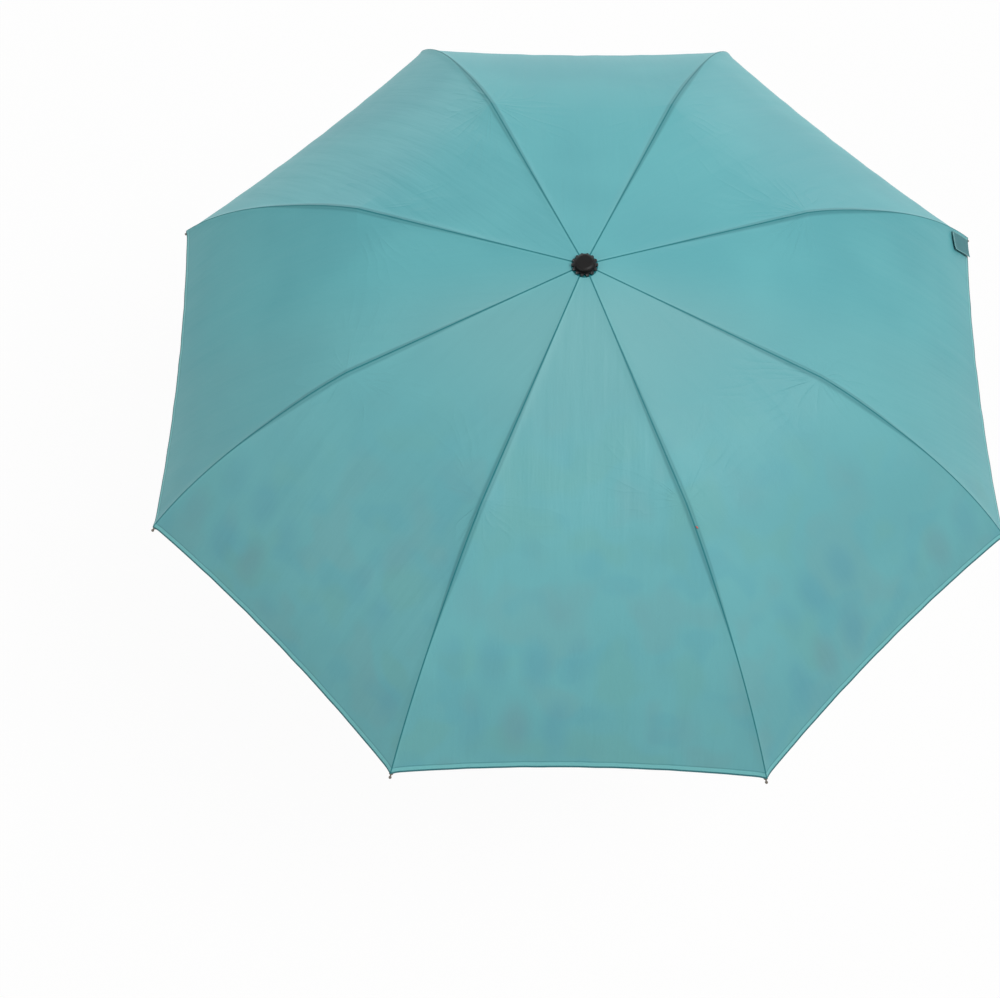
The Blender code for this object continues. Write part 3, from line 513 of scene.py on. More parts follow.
@dataclass(frozen=True)
class InnerPattern:
    """The inner canopy: its line under a rib, its shape, and how the bars share it out."""

    collar: Pair = (15.2 * MM, -3.95 * MM)
    link_seat: Pair = (17 * MM, 4.4 * MM)
    joint_seat: Pair = (3 * MM, 13.2 * MM)
    start: float = 32 * MM
    end: float = 232 * MM
    start_gap: float = 3.7 * MM
    gap: float = 2.7 * MM
    settled: float = 37 * MM
    rings: tuple[float, ...] = (42 * MM, 90 * MM, 170 * MM)
    rib_tilt: float = radians(14.5)
    rim_tilt: float = radians(17.2)

    def line(self) -> Line:
        """Lays out the cloth's line under one rib.

        Returns:
            The line, from the collar to the rim.
        """
        steps = 100
        out, under = self.link_seat
        past, below = self.joint_seat
        pivot = Vector((PIVOT_RADIUS, RUNNER_HEIGHT))
        points = [
            Vector((self.collar[0], RUNNER_HEIGHT + self.collar[1])),
            pivot + polar(out, LINK_OPEN) + polar(under, LINK_OPEN - QUARTER_TURN),
            JOINT + polar(below, RIB_OPEN - QUARTER_TURN) + polar(past, RIB_OPEN),
        ]
        for index in range(steps + 1):
            along = blend_of(self.start, self.end, index / steps)
            share = smooth_step((along - self.start) / self.settled)
            gap = blend_of(self.start_gap, self.gap, share)
            points.append(ROD.at(along) - rod_normal(along) * gap)
        return Line(points)

    def layer(self) -> Layer:
        """The shape of the whole cloth."""
        return Layer(
            Canopy.LINING, self.line(),
            joint_dip=5 * MM, rim_dip=14 * MM, free_from=15 * MM, free_over=25 * MM,
            draw_from=JOINT.x, rim_draw=6 * MM, crest=0.0,
            ridge=0.0, ridge_width=6 * MM, ripple=0.9 * MM, wave=45 * MM,
            rounding=30 * MM,
        )

    def panels(self, line: Line) -> list[Panel]:
        """Shares the cloth out among the moving bars of a rib set.

        Args:
            line: The cloth's line.

        Returns:
            The panels at one rib.
        """
        joint = line.reach[2]
        flex = line.nearest(ROD.at(FLEX_AT) - rod_normal(FLEX_AT) * self.gap)
        low, middle, high = (line.at_radius(radius) for radius in self.rings)
        return [
            Panel("collar", "link_{}", 0.0, low, -1.0, 1.0, keep=0.55, columns=10),
            Panel("low", "link_{}", low, middle, -1.0, 1.0, keep=0.35, columns=16),
            Panel("middle", "link_{}", middle, high, -1.0, 1.0, keep=0.22, columns=26),
            Panel("high", "link_{}", high, joint, -1.0, 1.0, keep=0.16, columns=36,
                  end_lean=JOINT_LEAN),
            *both_sides("rib", "rib_inner_{}", (joint, flex), self.rib_tilt,
                        start_lean=JOINT_LEAN, end_lean=FLEX_LEAN, tuck=JOINT_TUCK),
            *both_sides("rim", "rib_outer_{}", (flex, line.length), self.rim_tilt,
                        start_lean=FLEX_LEAN, tuck=FLEX_TUCK),
        ]


def even_spread(low: float, high: float, share: float) -> float:
    """Spreads a grid's columns so that they lie closer together beside the rib."""
    place = blend_of(low, high, share)
    return copysign(abs(place) * blend_of(EVEN_SHARE, 1.0, abs(place)), place)


def thicken(sheet: Sheet, thickness: float, upward: bool = False) -> float:
    """Gives a thin sheet its thickness.

    Args:
        sheet: The sheet, as a single layer of faces.
        thickness: How thick it becomes.
        upward: Whether its first face has to look up before it grows.

    Returns:
        The area of one side.
    """
    bmesh.ops.recalc_face_normals(sheet, faces=sheet.faces[:])
    if upward and sheet.faces[:][0].normal.z < 0:
        bmesh.ops.reverse_faces(sheet, faces=sheet.faces[:])
    bmesh.ops.solidify(sheet, geom=sheet.faces[:], thickness=thickness)
    bmesh.ops.recalc_face_normals(sheet, faces=sheet.faces[:])
    return sum(face.calc_area() for face in sheet.faces) / 2


def placed(name: str, data: bpy.types.ID) -> Piece:
    """Puts an object that has this data into the scene.

    Args:
        name: The object's name.
        data: Its mesh, lamp or camera.

    Returns:
        The object.
    """
    made = bpy.data.objects.new(name, data)
    bpy.context.scene.collection.objects.link(made)
    return made


def finished_piece(builder: Sheet, name: str, finish: Material) -> Piece:
    """Makes a piece of a shape, smooth but for its sharp edges.

    Args:
        builder: The shape, which is freed.
        name: The piece's name.
        finish: Its material.

    Returns:
        The piece.
    """
    mesh = bpy.data.meshes.new(name)
    builder.to_mesh(mesh)
    builder.free()
    mesh.materials.append(finish)
    mesh.shade_smooth()
    mesh.set_sharp_from_angle(angle=SHARP_ANGLE)
    return placed(name, mesh)


@dataclass(frozen=True)
class CanopyMaker:
    """Builds the panels of one canopy, rib by rib, and seats them on the moving bars."""

    layer: Layer
    panels: list[Panel]
    finish: Material
    slot: str
    node: str

    def squash_axis(self, number: int, panel: Panel) -> tuple[Vector, Vector]:
        """Finds how a panel flattens as the umbrella closes.

        Args:
            number: The rib.
            panel: The panel beside it.

        Returns:
            The direction in which it flattens, and a fixed point.
        """
        turn = rib_turn(number)
        outward = Vector((cos(turn), sin(turn), 0.0))
        tangent = Vector((-sin(turn), cos(turn), 0.0))
        if panel.side == 0:
            return tangent, Vector((0.0, 0.0, 0.0))
        centre = (panel.start + panel.end) / 2
        under = polar(1.0, rod_slope(centre - self.layer.line.reach[2]) - QUARTER_TURN)
        below = outward * under.x + Vector((0.0, 0.0, under.y))
        axis = tangent * panel.side * cos(panel.tilt) + below * sin(panel.tilt)
        middle = self.layer.line.at(centre)
        return axis, outward * middle.x + Vector((0.0, 0.0, middle.y))

    def build(self, number: int, panel: Panel) -> None:
        """Builds one panel beside one rib and seats it on its body.

        Args:
            number: The rib.
            panel: Which part of the canopy it is.
        """
        layer = self.layer
        length = panel.length
        rows = max(3, round(length / panel.row_step))
        columns = panel.columns * (2 if panel.side == 0 else 1)
        builder = bmesh.new()
        gap_of = builder.verts.layers.float.new("rib_gap")
        rim_of = builder.verts.layers.float.new("rim_gap")
        along_of = builder.verts.layers.float.new("along")
        bmesh.ops.create_grid(builder, x_segments=columns, y_segments=rows, size=0.5)
        for vert in builder.verts:
            spread = even_spread(panel.low, panel.high, vert.co.x + 0.5)
            distance = blend_of(*panel.span(spread), vert.co.y + 0.5)
            vert.co, vert[gap_of] = layer.point(number, distance, spread)
            vert.co.z += panel.lift(spread, distance)
            vert[rim_of] = layer.line.length - distance
            vert[along_of] = distance
        area = thicken(builder, CLOTH, upward=True)
        made = finished_piece(builder, f"{layer.kind.value}_{panel.part}_{number}", self.finish)
        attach(made, panel.body.format(number))
        axis, anchor = self.squash_axis(number, panel)
        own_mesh(made)
        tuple(axis)
        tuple(anchor)
        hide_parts(self.node)
        width = (panel.high - panel.low) * layer.line.at(panel.end).x * GORE_SIN
        flat = (max(width, LEAST_FLAT), max(length, LEAST_FLAT))

    def build_all(self) -> None:
        """Builds every panel on every rib."""
        for number in range(1, RIB_COUNT + 1):
            for panel in self.panels:
                self.build(number, panel)
        LOG.info("%s canopy: %d panels", self.layer.kind.value, RIB_COUNT * len(self.panels))


class Nodes:
    """A node tree and short ways to add to it. A value is a number, a colour or a socket."""

    def __init__(self, tree: bpy.types.NodeTree) -> None:
        """Keeps the tree."""
        self.tree = tree

    def feed(self, socket: Socket, value: object) -> None:
        """Links a socket to another, or sets its value.

        Args:
            socket: The input that is fed.
            value: What it gets.
        """
        if isinstance(value, Socket):
            self.tree.links.new(value, socket)
        else:
            socket.default_value = value

    def node(
        self, kind: str, values: dict[int | str, object] | None = None, **settings: object
    ) -> bpy.types.Node:
        """Adds a node.

        Args:
            kind: The node's type.
            values: What its inputs get, by their number or name.
            settings: Its other settings by name.

        Returns:
            The node.
        """
        made = self.tree.nodes.new(kind)
        for name, value in settings.items():
            setattr(made, name, value)
        for key, value in (values or {}).items():
            self.feed(made.inputs[key], value)
        return made

    def calc(self, operation: str, *values: object) -> Socket:
        """One step of arithmetic."""
        return self.node(
            "ShaderNodeMath", dict(enumerate(values)), operation=operation
        ).outputs[0]

    def times(self, *values: object) -> Socket:
        """The product of several values."""
        return reduce(lambda first, second: self.calc("MULTIPLY", first, second), values)

    def highest(self, *values: object) -> Socket:
        """The highest of several values."""
        return reduce(lambda first, second: self.calc("MAXIMUM", first, second), values)

    def seen(self) -> Socket:
        """Finds whether the camera sees a thing, also in a mirror or through glass.

        Returns:
            1 where it does, and else 0.
        """
        rays = self.node("ShaderNodeLightPath").outputs
        kinds = ("Is Camera Ray", "Is Glossy Ray", "Is Transmission Ray")
        return self.highest(*(rays[kind] for kind in kinds))


class Recipe(Nodes):
    """A finish in the making: a material's nodes, on the coordinates of the object."""

    def __init__(self, name: str) -> None:
        """Starts a material that has only its main surface.

        Args:
            name: The material's name.
        """
        self.material = bpy.data.materials.new(name)
        self.material.use_nodes = True
        super().__init__(self.material.node_tree)
        self.surface = self.tree.nodes["Principled BSDF"]
        self.place = self.node("ShaderNodeTexCoord").outputs["Object"]

    def rest(self, value: object) -> Socket:
        """What a value lacks of 1."""
        return self.calc("SUBTRACT", 1.0, value)

    def size(self, value: object) -> Socket:
        """A value without its sign."""
        return self.calc("ABSOLUTE", value)

    def axes(self) -> tuple[Socket, ...]:
        """The object coordinates as three numbers."""
        return tuple(self.node("ShaderNodeSeparateXYZ", {0: self.place}).outputs)

    def join(self, x: object, y: object, z: object = 0.0) -> Socket:
        """A vector of three values."""
        return self.node("ShaderNodeCombineXYZ", {0: x, 1: y, 2: z}).outputs[0]

    def turned(self, first: object, second: object, angle: object) -> tuple[Socket, Socket]:
        """Turns a pair of axes at right angles.

        Args:
            first: The distance along the first axis.
            second: The distance along the second.
            angle: How far the axes turn, from the first towards the second.

        Returns:
            The distances along the turned axes.
        """
        cosine, sine = self.calc("COSINE", angle), self.calc("SINE", angle)
        return (
            self.calc("ADD", self.times(first, cosine), self.times(second, sine)),
            self.calc("SUBTRACT", self.times(second, cosine), self.times(first, sine)),
        )

    def attribute(self, name: str) -> Socket:
        """A number kept on the mesh's points."""
        return self.node("ShaderNodeAttribute", attribute_name=name).outputs["Fac"]

    def step(self, value: object, low: float, high: float) -> Socket:
        """Goes smoothly from 0 at low to 1 at high."""
        ends = {"Value": value, "From Min": low, "From Max": high}
        return self.node(
            "ShaderNodeMapRange", ends, interpolation_type="SMOOTHSTEP"
        ).outputs["Result"]

    def fade(self, value: object, low: float, high: float) -> Socket:
        """Goes smoothly from 1 at low to 0 at high."""
        return self.rest(self.step(value, low, high))

    def band(self, value: object, middle: float, half: float, soft: float) -> Socket:
        """1 within half of the middle value, fading to 0 over soft."""
        return self.fade(self.size(self.calc("SUBTRACT", value, middle)), half, half + soft)

    def noise(self, scale: float, detail: float = 2.0, place: object = None) -> Socket:
        """Soft noise from 0 to 1."""
        values = {"Vector": place or self.place, "Scale": scale, "Detail": detail}
        return self.node("ShaderNodeTexNoise", values).outputs["Fac"]

    def mix(self, share: object, first: object, second: object) -> Socket:
        """A colour between two others."""
        values = {0: share, 6: first, 7: second}
        return self.node("ShaderNodeMix", values, data_type="RGBA").outputs[2]

    def choose(self, draw: Socket, colours: tuple[Colour, ...]) -> Socket:
        """Picks one of several colours.

        Args:
            draw: A number from 0 to 1.
            colours: The colours, each for an even part of that range.

        Returns:
            The colour.
        """
        made = self.node("ShaderNodeValToRGB", {0: draw})
        ramp = made.color_ramp
        ramp.interpolation = "CONSTANT"
        ramp.elements[0].color = colours[0]
        ramp.elements[0].position = 0.0
        ramp.elements[1].color = colours[-1]
        ramp.elements[1].position = 1 - 1 / len(colours)
        for index in range(1, len(colours) - 1):
            ramp.elements.new(index / len(colours)).color = colours[index]
        return made.outputs["Color"]

    def from_middle(self, cells: object, size: float) -> Socket:
        """The distance from the middle of the cell that a number of cells falls in."""
        return self.times(self.calc("SUBTRACT", self.calc("FRACT", cells), 0.5), size)

    def length(self, first: object, second: object) -> Socket:
        """The length of a step made of two values."""
        step = {0: self.join(first, second)}
        return self.node("ShaderNodeVectorMath", step, operation="LENGTH").outputs["Value"]

    def bump(self, height: object, depth: float, normal: object = None) -> Socket:
        """Small relief of this depth in metres."""
        values = {"Height": height, "Distance": depth} | ({"Normal": normal} if normal else {})
        return self.node("ShaderNodeBump", values).outputs["Normal"]

    def finish(self, **values: object) -> Material:
        """Ends the recipe.

        Args:
            values: What the surface's inputs get, by name with underscores for spaces.

        Returns:
            The material.
        """
        for name, value in values.items():
            self.feed(self.surface.inputs[name.replace("_", " ")], value)
        return self.material


def paint(red: float, green: float, blue: float) -> Colour:
    """Turns a screen colour into the light values that the renderer takes.

    Args:
        red: From 0 to 255.
        green: From 0 to 255.
        blue: From 0 to 255.

    Returns:
        The colour.
    """
    made = []
    for level in (red, green, blue):
        share = level / 255
        made.append(share / 12.92 if share <= 0.04045 else ((share + 0.055) / 1.055) ** 2.4)
    return (made[0], made[1], made[2], 1.0)


@dataclass(frozen=True)
class Palette:
    """The colours of the cloth and its print, and of the light and shade painted on the cover.
    """

    teal: Colour = paint(103, 179, 185)
    teal_deep: Colour = paint(98, 173, 180)
    seam: Colour = paint(14, 88, 97)
    stitch: Colour = paint(28, 119, 125)
    # A painted highlight: the pale sheen near the crown on the near side.
    painted_crown_highlight: Colour = paint(127, 179, 181)
    # Painted transmitted light: tints of the print as seen through the cover.
    painted_through_dusk: Colour = paint(108, 150, 158)
    pool: Colour = paint(82, 154, 174)
    hem: Colour = paint(122, 197, 199)
    tab: Colour = paint(56, 126, 132)
    tab_deep: Colour = paint(50, 116, 122)
    tab_edge: Colour = paint(120, 178, 180)
    ground: Colour = paint(220, 209, 210)
    ground_worn: Colour = paint(209, 196, 198)
    coral: Colour = paint(214, 72, 66)
    rose: Colour = paint(206, 82, 96)
    slate: Colour = paint(76, 78, 102)
    night: Colour = paint(32, 36, 48)
    mustard: Colour = paint(206, 162, 100)
    aqua: Colour = paint(112, 178, 174)
    tan: Colour = paint(214, 168, 118)
    white: Colour = paint(238, 232, 230)


PALETTE = Palette()


@dataclass(frozen=True)
class Motifs:
    """Sizes of the printed ovals and how they are spread over a gore."""

    row: float = 50 * MM
    column: float = 44 * MM
    long_half: float = 25.5 * MM
    short_half: float = 20.5 * MM
    tilt: float = 0.5
    dot_pitch: float = 5.0 * MM
    dot: Pair = (1.35 * MM, 1.85 * MM)
    dot_strength: float = 0.9
    edge: Pair = (0.95, 0.99)
    colour_step: float = 0.618
    colour_start: float = 0.1
    kind_step: float = 13.7
    dotted_from: float = 0.4
    loose_from: float = 0.72


@dataclass(frozen=True)
class Oval:
    """Where a point lies in the oval nearest to it, and a number that belongs to the oval."""

    distance: Socket
    long_way: Socket
    short_way: Socket
    draw: Socket


class Cloth(Recipe):
    """A cloth finish in the making: gores, printed ovals, relief and weave."""

    sizes: Motifs = Motifs()
    weave_scale: float = 1400.0
    weave_depth: float = 0.05 * MM
    drawn_scale: Pair = (60.0, 7.0)
    drawn_depth: float = 1.3 * MM
    seam_raised: Pair = (1.2 * MM, 1.6 * MM)
    hem_soft: float = 0.6 * MM
    raised_depth: float = 0.14 * MM

    def gore_place(self) -> tuple[Socket, Socket, Socket]:
        """Finds the gore that a point lies in.

        Returns:
            Distances outward and aside in the gore, and its number.
        """
        x, y, _ = self.axes()
        turn = self.calc("ARCTAN2", y, x)
        gore = self.calc("ROUND", self.calc("DIVIDE", turn, GORE_TURN))
        return *self.turned(x, y, self.times(gore, GORE_TURN)), gore

    def oval(self, outward: object, aside: object) -> Oval:
        """Lays out staggered rows of upright ovals that lean a little.

        Args:
            outward: The distance along the ovals' length.
            aside: The distance across them.

        Returns:
            The nearest oval: the distance from its middle, 1 at its edge, the two ways
            across it, and its number from 0 to 1.
        """
        sizes = self.sizes
        level = self.calc("DIVIDE", outward, sizes.row)
        row = self.calc("FLOOR", level)
        shift = self.times(self.calc("FLOORED_MODULO", row, 2.0), 0.5)
        spot = self.calc("ADD", self.calc("DIVIDE", aside, sizes.column), shift)
        column = self.calc("FLOOR", spot)
        lean = self.node(
            "ShaderNodeTexWhiteNoise", {"Vector": self.join(row, column, 2.0)},
            noise_dimensions="3D",
        ).outputs["Value"]
        turn = self.calc("FLOORED_MODULO", column, 2.0)
        place = self.calc("MULTIPLY_ADD", row, 2.0, turn)
        drawn = self.calc("MULTIPLY_ADD", place, sizes.colour_step, sizes.colour_start)
        draw = self.calc("FRACT", drawn)
        long_way, short_way = self.turned(
            self.from_middle(level, sizes.row),
            self.from_middle(spot, sizes.column),
            self.times(self.calc("SUBTRACT", lean, 0.5), sizes.tilt),
        )
        distance = self.length(
            self.calc("DIVIDE", long_way, sizes.long_half),
            self.calc("DIVIDE", short_way, sizes.short_half),
        )
        return Oval(distance, long_way, short_way, draw)

    def printed(self, outward: object, aside: object) -> Socket:
        """Prints the ovals on their pale ground, some plain and some dotted.

        Args:
            outward: The distance along the ovals' length.
            aside: The distance across them.

        Returns:
            The colour.
        """
        sizes, pitch = self.sizes, self.sizes.dot_pitch
        oval = self.oval(outward, aside)
        colour = self.choose(
            oval.draw,
            (PALETTE.coral, PALETTE.slate, PALETTE.rose, PALETTE.aqua, PALETTE.night,
             PALETTE.coral, PALETTE.mustard),
        )
        spacing = self.length(
            *(
                self.from_middle(self.calc("DIVIDE", way, pitch), pitch)
                for way in (oval.long_way, oval.short_way)
            )
        )
        dots = self.fade(spacing, *sizes.dot)
        kind = self.calc("FRACT", self.times(oval.draw, sizes.kind_step))
        dotted = self.calc("GREATER_THAN", kind, sizes.dotted_from)
        loose = self.calc("GREATER_THAN", kind, sizes.loose_from)
        spare = self.times(loose, self.rest(dots))
        shown = self.times(self.fade(oval.distance, *sizes.edge), self.rest(spare))
        pale = self.times(dots, self.calc("SUBTRACT", dotted, loose), sizes.dot_strength)
        worn = self.times(self.noise(40.0), 0.5)
        ground = self.mix(worn, PALETTE.ground, PALETTE.ground_worn)
        return self.mix(shown, ground, self.mix(pale, colour, PALETTE.white))

    def weave(self, depth: float, normal: object = None) -> Socket:
        """The fine relief of woven threads."""
        return self.bump(self.noise(self.weave_scale, 1.0), depth, normal)

    def relief(self, gap: Socket, rim: Socket, hem: float) -> Socket:
        """Raises fine creases that run outward, the seam, the folded hem and the weave.

        Args:
            gap: The distance from the rib.
            rim: The distance from the rim.
            hem: How wide the folded hem is.

        Returns:
            The relief.
        """
        outward, aside, _ = self.gore_place()
        across, out = self.drawn_scale
        drawn = self.join(self.times(aside, across), self.times(outward, out))
        normal = self.bump(self.noise(1.0, 3.0, drawn), self.drawn_depth)
        seam = self.band(self.size(gap), 0.0, *self.seam_raised)
        edge = self.fade(rim, hem - self.hem_soft, hem + self.hem_soft)
        normal = self.bump(self.calc("ADD", seam, edge), self.raised_depth, normal)
        return self.weave(self.weave_depth, normal)


class CoverCloth(Cloth):
    """Thin teal cloth with sewn seams and a hem; light and shade are painted on it: the print
    showing through on the near side, highlights, and shade at seams and rim.
    """

    hem: Pair = (6.6 * MM, 7.8 * MM)
    hem_relief: float = 7.4 * MM
    # Painted shade: a soft dark line along the hem's fold and a dark line along the rim's edge.
    fold: float = 7.9 * MM
    edge: Pair = (1.9 * MM, 2.7 * MM)
    stitch: float = 0.55 * MM
    # Sizes the darker band beside a seam: doubled cloth with painted shade.
    doubled_cloth_and_shade: Pair = (3.4 * MM, 0.7 * MM)
    creases_end: Pair = (30 * MM, 150 * MM)
    creases_start: Pair = (4 * MM, 18 * MM)
    crease_depth: float = 0.36 * MM
    crease_rays: Pair = (1.4, 7.0)
    crease_sharp: float = 9.0
    crease_few: Pair = (0.42, 0.58)
    # Where and how strongly the painted transmitted light of the show-through falls.
    near: Pair = (0.08, 0.26)
    patches_moved: tuple[float, float, float] = (3.1, 1.7, 0.4)
    ovals_soft: Pair = (0.2, 1.15)
    ovals_strength: float = 0.5

    def creases(self, away: Socket, along: Socket) -> Socket:
        """Lays out sharp little creases that run out from the joint under the cloth.

        Args:
            away: The distance from the rib.
            along: The distance along the canopy's line.

        Returns:
            Their height, from 0 to 1.
        """
        past = self.calc("SUBTRACT", along, JOINT_ALONG)
        angle = self.calc("ARCTAN2", away, past)
        reach = self.length(away, past)
        gore = self.gore_place()[2]
        turn_scale, reach_scale = self.crease_rays
        place = self.join(
            self.times(angle, turn_scale), self.times(reach, reach_scale), gore
        )
        rough = self.noise(2.0, 1.0, place)
        ridge = self.rest(self.size(self.calc("MULTIPLY_ADD", rough, 2.0, -1.0)))
        return self.times(
            self.calc("POWER", ridge, self.crease_sharp),
            self.fade(reach, *self.creases_end),
            self.step(reach, *self.creases_start),
            self.step(self.noise(13.0, 1.0), *self.crease_few),
        )

    def painted_show_through(self, base: Socket, front: Socket) -> Socket:
        """Adds painted transmitted light on the near side: faint soft patches, and ovals of the
        print as if seen through the cloth.

        Args:
            base: The colour so far.
            front: The distance to the near side.

        Returns:
            The colour.
        """
        # Only the near side gets this painted light, where light would pass through the cloth.
        near = self.step(front, *self.near)
        moved = self.node(
            "ShaderNodeVectorMath", {0: self.place, 1: self.patches_moved}, operation="ADD"
        )
        first = self.noise(17.0, 1.0)
        second = self.noise(21.0, 1.0, moved.outputs[0])
        for field, low, high, colour, strength in (
            (first, 0.52, 0.66, paint(116, 160, 163), 0.26),
            (second, 0.54, 0.68, paint(84, 164, 180), 0.3),
            (self.rest(first), 0.54, 0.68, paint(106, 172, 164), 0.34),
        ):
            share = self.times(self.step(field, low, high), strength, near)
            base = self.mix(share, base, colour)
        outward, aside, _ = self.gore_place()
        under = self.oval(outward, aside)
        tint = self.choose(
            under.draw,
            (PALETTE.painted_through_dusk, PALETTE.pool, PALETTE.teal, PALETTE.pool, PALETTE.painted_through_dusk),
        )
        share = self.times(
            self.fade(under.distance, *self.ovals_soft),
            self.step(self.noise(8.0, 1.0), 0.38, 0.6),
            self.step(outward, 0.22, 0.4),
            near,
            self.ovals_strength,
        )
        return self.mix(share, base, tint)

    def darkened(self, base: Socket, away: Socket, along: Socket) -> Socket:
        """Adds a darker band beside a seam, wider half way to the rim: doubled cloth, with
        painted shade over the joint.

        Args:
            base: The colour so far.
            away: The distance from the rib.
            along: The distance along the canopy's line.

        Returns:
            The colour.
        """
        swell = self.times(self.step(along, 0.04, 0.25), self.fade(along, 0.3, 0.43))
        half = self.calc("MULTIPLY_ADD", swell, *self.doubled_cloth_and_shade)
        doubled_cloth_and_shade = self.fade(self.calc("DIVIDE", away, half), 0.6, 1.5)
        return self.mix(self.times(doubled_cloth_and_shade, 0.38), base, PALETTE.seam)

    def build(self) -> Material:
        """Makes the material.

        Returns:
            The material.
        """
        gap = self.attribute("rib_gap")
        rim = self.attribute("rim_gap")
        along = self.attribute("along")
        away = self.size(gap)
        front = self.times(self.axes()[1], -1.0)
        clouds = self.step(self.noise(7.0), 0.35, 0.65)
        base = self.mix(clouds, PALETTE.teal_deep, PALETTE.teal)
        base = self.painted_show_through(base, front)
        # A painted highlight: the near side is paler near the crown, where a lamp's broad sheen
        # falls.
        middle = self.calc("MULTIPLY_ADD", self.fade(along, 0.08, 0.26), 0.3, 0.22)
        painted_crown_highlight = self.times(self.step(front, -0.03, 0.06), middle)
        base = self.darkened(self.mix(painted_crown_highlight, base, PALETTE.painted_crown_highlight), away, along)
        # Painted shade: a soft dark line along the hem's fold, and below a darker line along
        # the rim's edge.
        fold = self.times(self.band(rim, self.fold, 0.4 * MM, 0.7 * MM), 0.35)
        for line, strength, colour in (
            (self.fade(rim, *self.hem), 0.9, PALETTE.hem),
            # Painted shade along the rim's edge and the hem's fold.
            (self.highest(fold, self.fade(rim, *self.edge)), 0.85, PALETTE.seam),
            (self.band(away, 0.0, self.stitch, 0.5 * MM), 0.85, PALETTE.stitch),
            # A painted highlight: a pale line on one side of each seam.
            (self.band(gap, 2.2 * MM, 0.3 * MM, 0.6 * MM), 0.2, PALETTE.hem),
        ):
            base = self.mix(self.times(line, strength), base, colour)
        normal = self.relief(gap, rim, self.hem_relief)
        return self.finish(
            Base_Color=base,
            Roughness=0.48,
            Specular_IOR_Level=0.2,
            Normal=self.bump(self.creases(away, along), self.crease_depth, normal),
        )


class LiningCloth(Cloth):
    """The printed cloth, with a plain ring at the collar and a teal border at the rim."""

    ring: Pair = (26.4 * MM, 27.2 * MM)
    border: Pair = (31.6 * MM, 32.4 * MM)
    hem_relief: float = 6 * MM

    def build(self) -> Material:
        """Makes the material.

        Returns:
            The material.
        """
        gap = self.attribute("rib_gap")
        rim = self.attribute("rim_gap")
        outward, aside, _ = self.gore_place()
        base = self.printed(outward, aside)
        base = self.mix(self.fade(self.attribute("along"), *self.ring), base, PALETTE.tan)
        base = self.mix(self.fade(rim, *self.border), base, PALETTE.teal)
        lines = self.highest(
            self.band(rim, sum(self.border) / 2, 0.5 * MM, 0.6 * MM),
            self.band(self.size(gap), 0.0, 0.5 * MM, 0.5 * MM),
        )
        return self.finish(
            Base_Color=self.mix(self.times(lines, 0.6), base, PALETTE.seam),
            Roughness=0.6,
            Specular_IOR_Level=0.3,
            Sheen_Weight=0.08,
            Sheen_Roughness=0.4,
            Normal=self.relief(gap, rim, self.hem_relief),
        )


class StrapCloth(Cloth):
    """The closing strap's cloth: the same print, cut narrow, with sewn edges."""

    sewn_at: float = 8.2 * MM

    def build(self) -> Material:
        """Makes the material.

        Returns:
            The material.
        """
        across = self.attribute("across")
        base = self.printed(self.attribute("lengthwise"), across)
        sewn = self.band(self.size(across), self.sewn_at, 0.2 * MM, 0.3 * MM)
        return self.finish(
            Base_Color=self.mix(self.times(sewn, 0.35), base, PALETTE.slate),
            Roughness=0.6,
            Specular_IOR_Level=0.3,
            Sheen_Weight=0.08,
            Normal=self.weave(self.weave_depth),
        )


class TabTape(Cloth):
    """The tab's deep teal tape, with paler lines along its sides and one end."""

    side: Pair = (10.2 * MM, 10.8 * MM)
    end: Pair = (-22.4 * MM, -21.2 * MM)

    def build(self) -> Material:
        """Makes the material.

        Returns:
            The material.
        """
        base = self.mix(self.noise(90.0, 3.0), PALETTE.tab_deep, PALETTE.tab)
        edge = self.highest(
            self.step(self.size(self.attribute("across")), *self.side),
            self.fade(self.attribute("lengthwise"), *self.end),
        )
        return self.finish(
            Base_Color=self.mix(self.times(edge, 0.8), base, PALETTE.tab_edge),
            Roughness=0.6,
            Specular_IOR_Level=0.3,
            Sheen_Weight=0.06,
            Normal=self.weave(0.06 * MM),
        )


class PlainCloth(Cloth):
    """Plain woven cloth or thread of one dye."""

    def dyed(self, colour: Colour, dark: Colour) -> Material:
        """Makes the material.

        Args:
            colour: The dye.
            dark: The same, where it is deepest.

        Returns:
            The material.
        """
        return self.finish(
            Base_Color=self.mix(self.noise(90.0, 3.0), dark, colour),
            Roughness=0.7,
            Sheen_Weight=0.3,
            Normal=self.weave(0.06 * MM),
        )


@dataclass(frozen=True)
class Hard:
    """A hard finish: its two close colours and how rough, metallic and grained it is."""

    name: str
    colour: Colour
    worn: Colour
    rough: float
    metal: float = 0.0
    coat: float = 0.0
    grain: float = 120.0
    relief: float = 0.02 * MM
    stretch: float = 1.0
    gloss: float = 0.5

    def build(self) -> Material:
        """Makes the material.

        Returns:
            The material.
        """
        recipe = Recipe(self.name)
        values = {"Vector": recipe.place, "Scale": (1.0, 1.0, self.stretch)}
        place = recipe.node("ShaderNodeMapping", values).outputs["Vector"]
        speckle = recipe.noise(self.grain, 3.0, place)
        smear = recipe.noise(22.0, 2.0, place)
        return recipe.finish(
            Base_Color=recipe.mix(recipe.step(speckle, 0.3, 0.7), self.colour, self.worn),
            Roughness=recipe.calc("MULTIPLY_ADD", smear, 0.16, self.rough - 0.08),
            Metallic=self.metal,
            Specular_IOR_Level=self.gloss,
            Coat_Weight=self.coat,
            Coat_Roughness=0.12,
            Normal=recipe.bump(speckle, self.relief),
        )


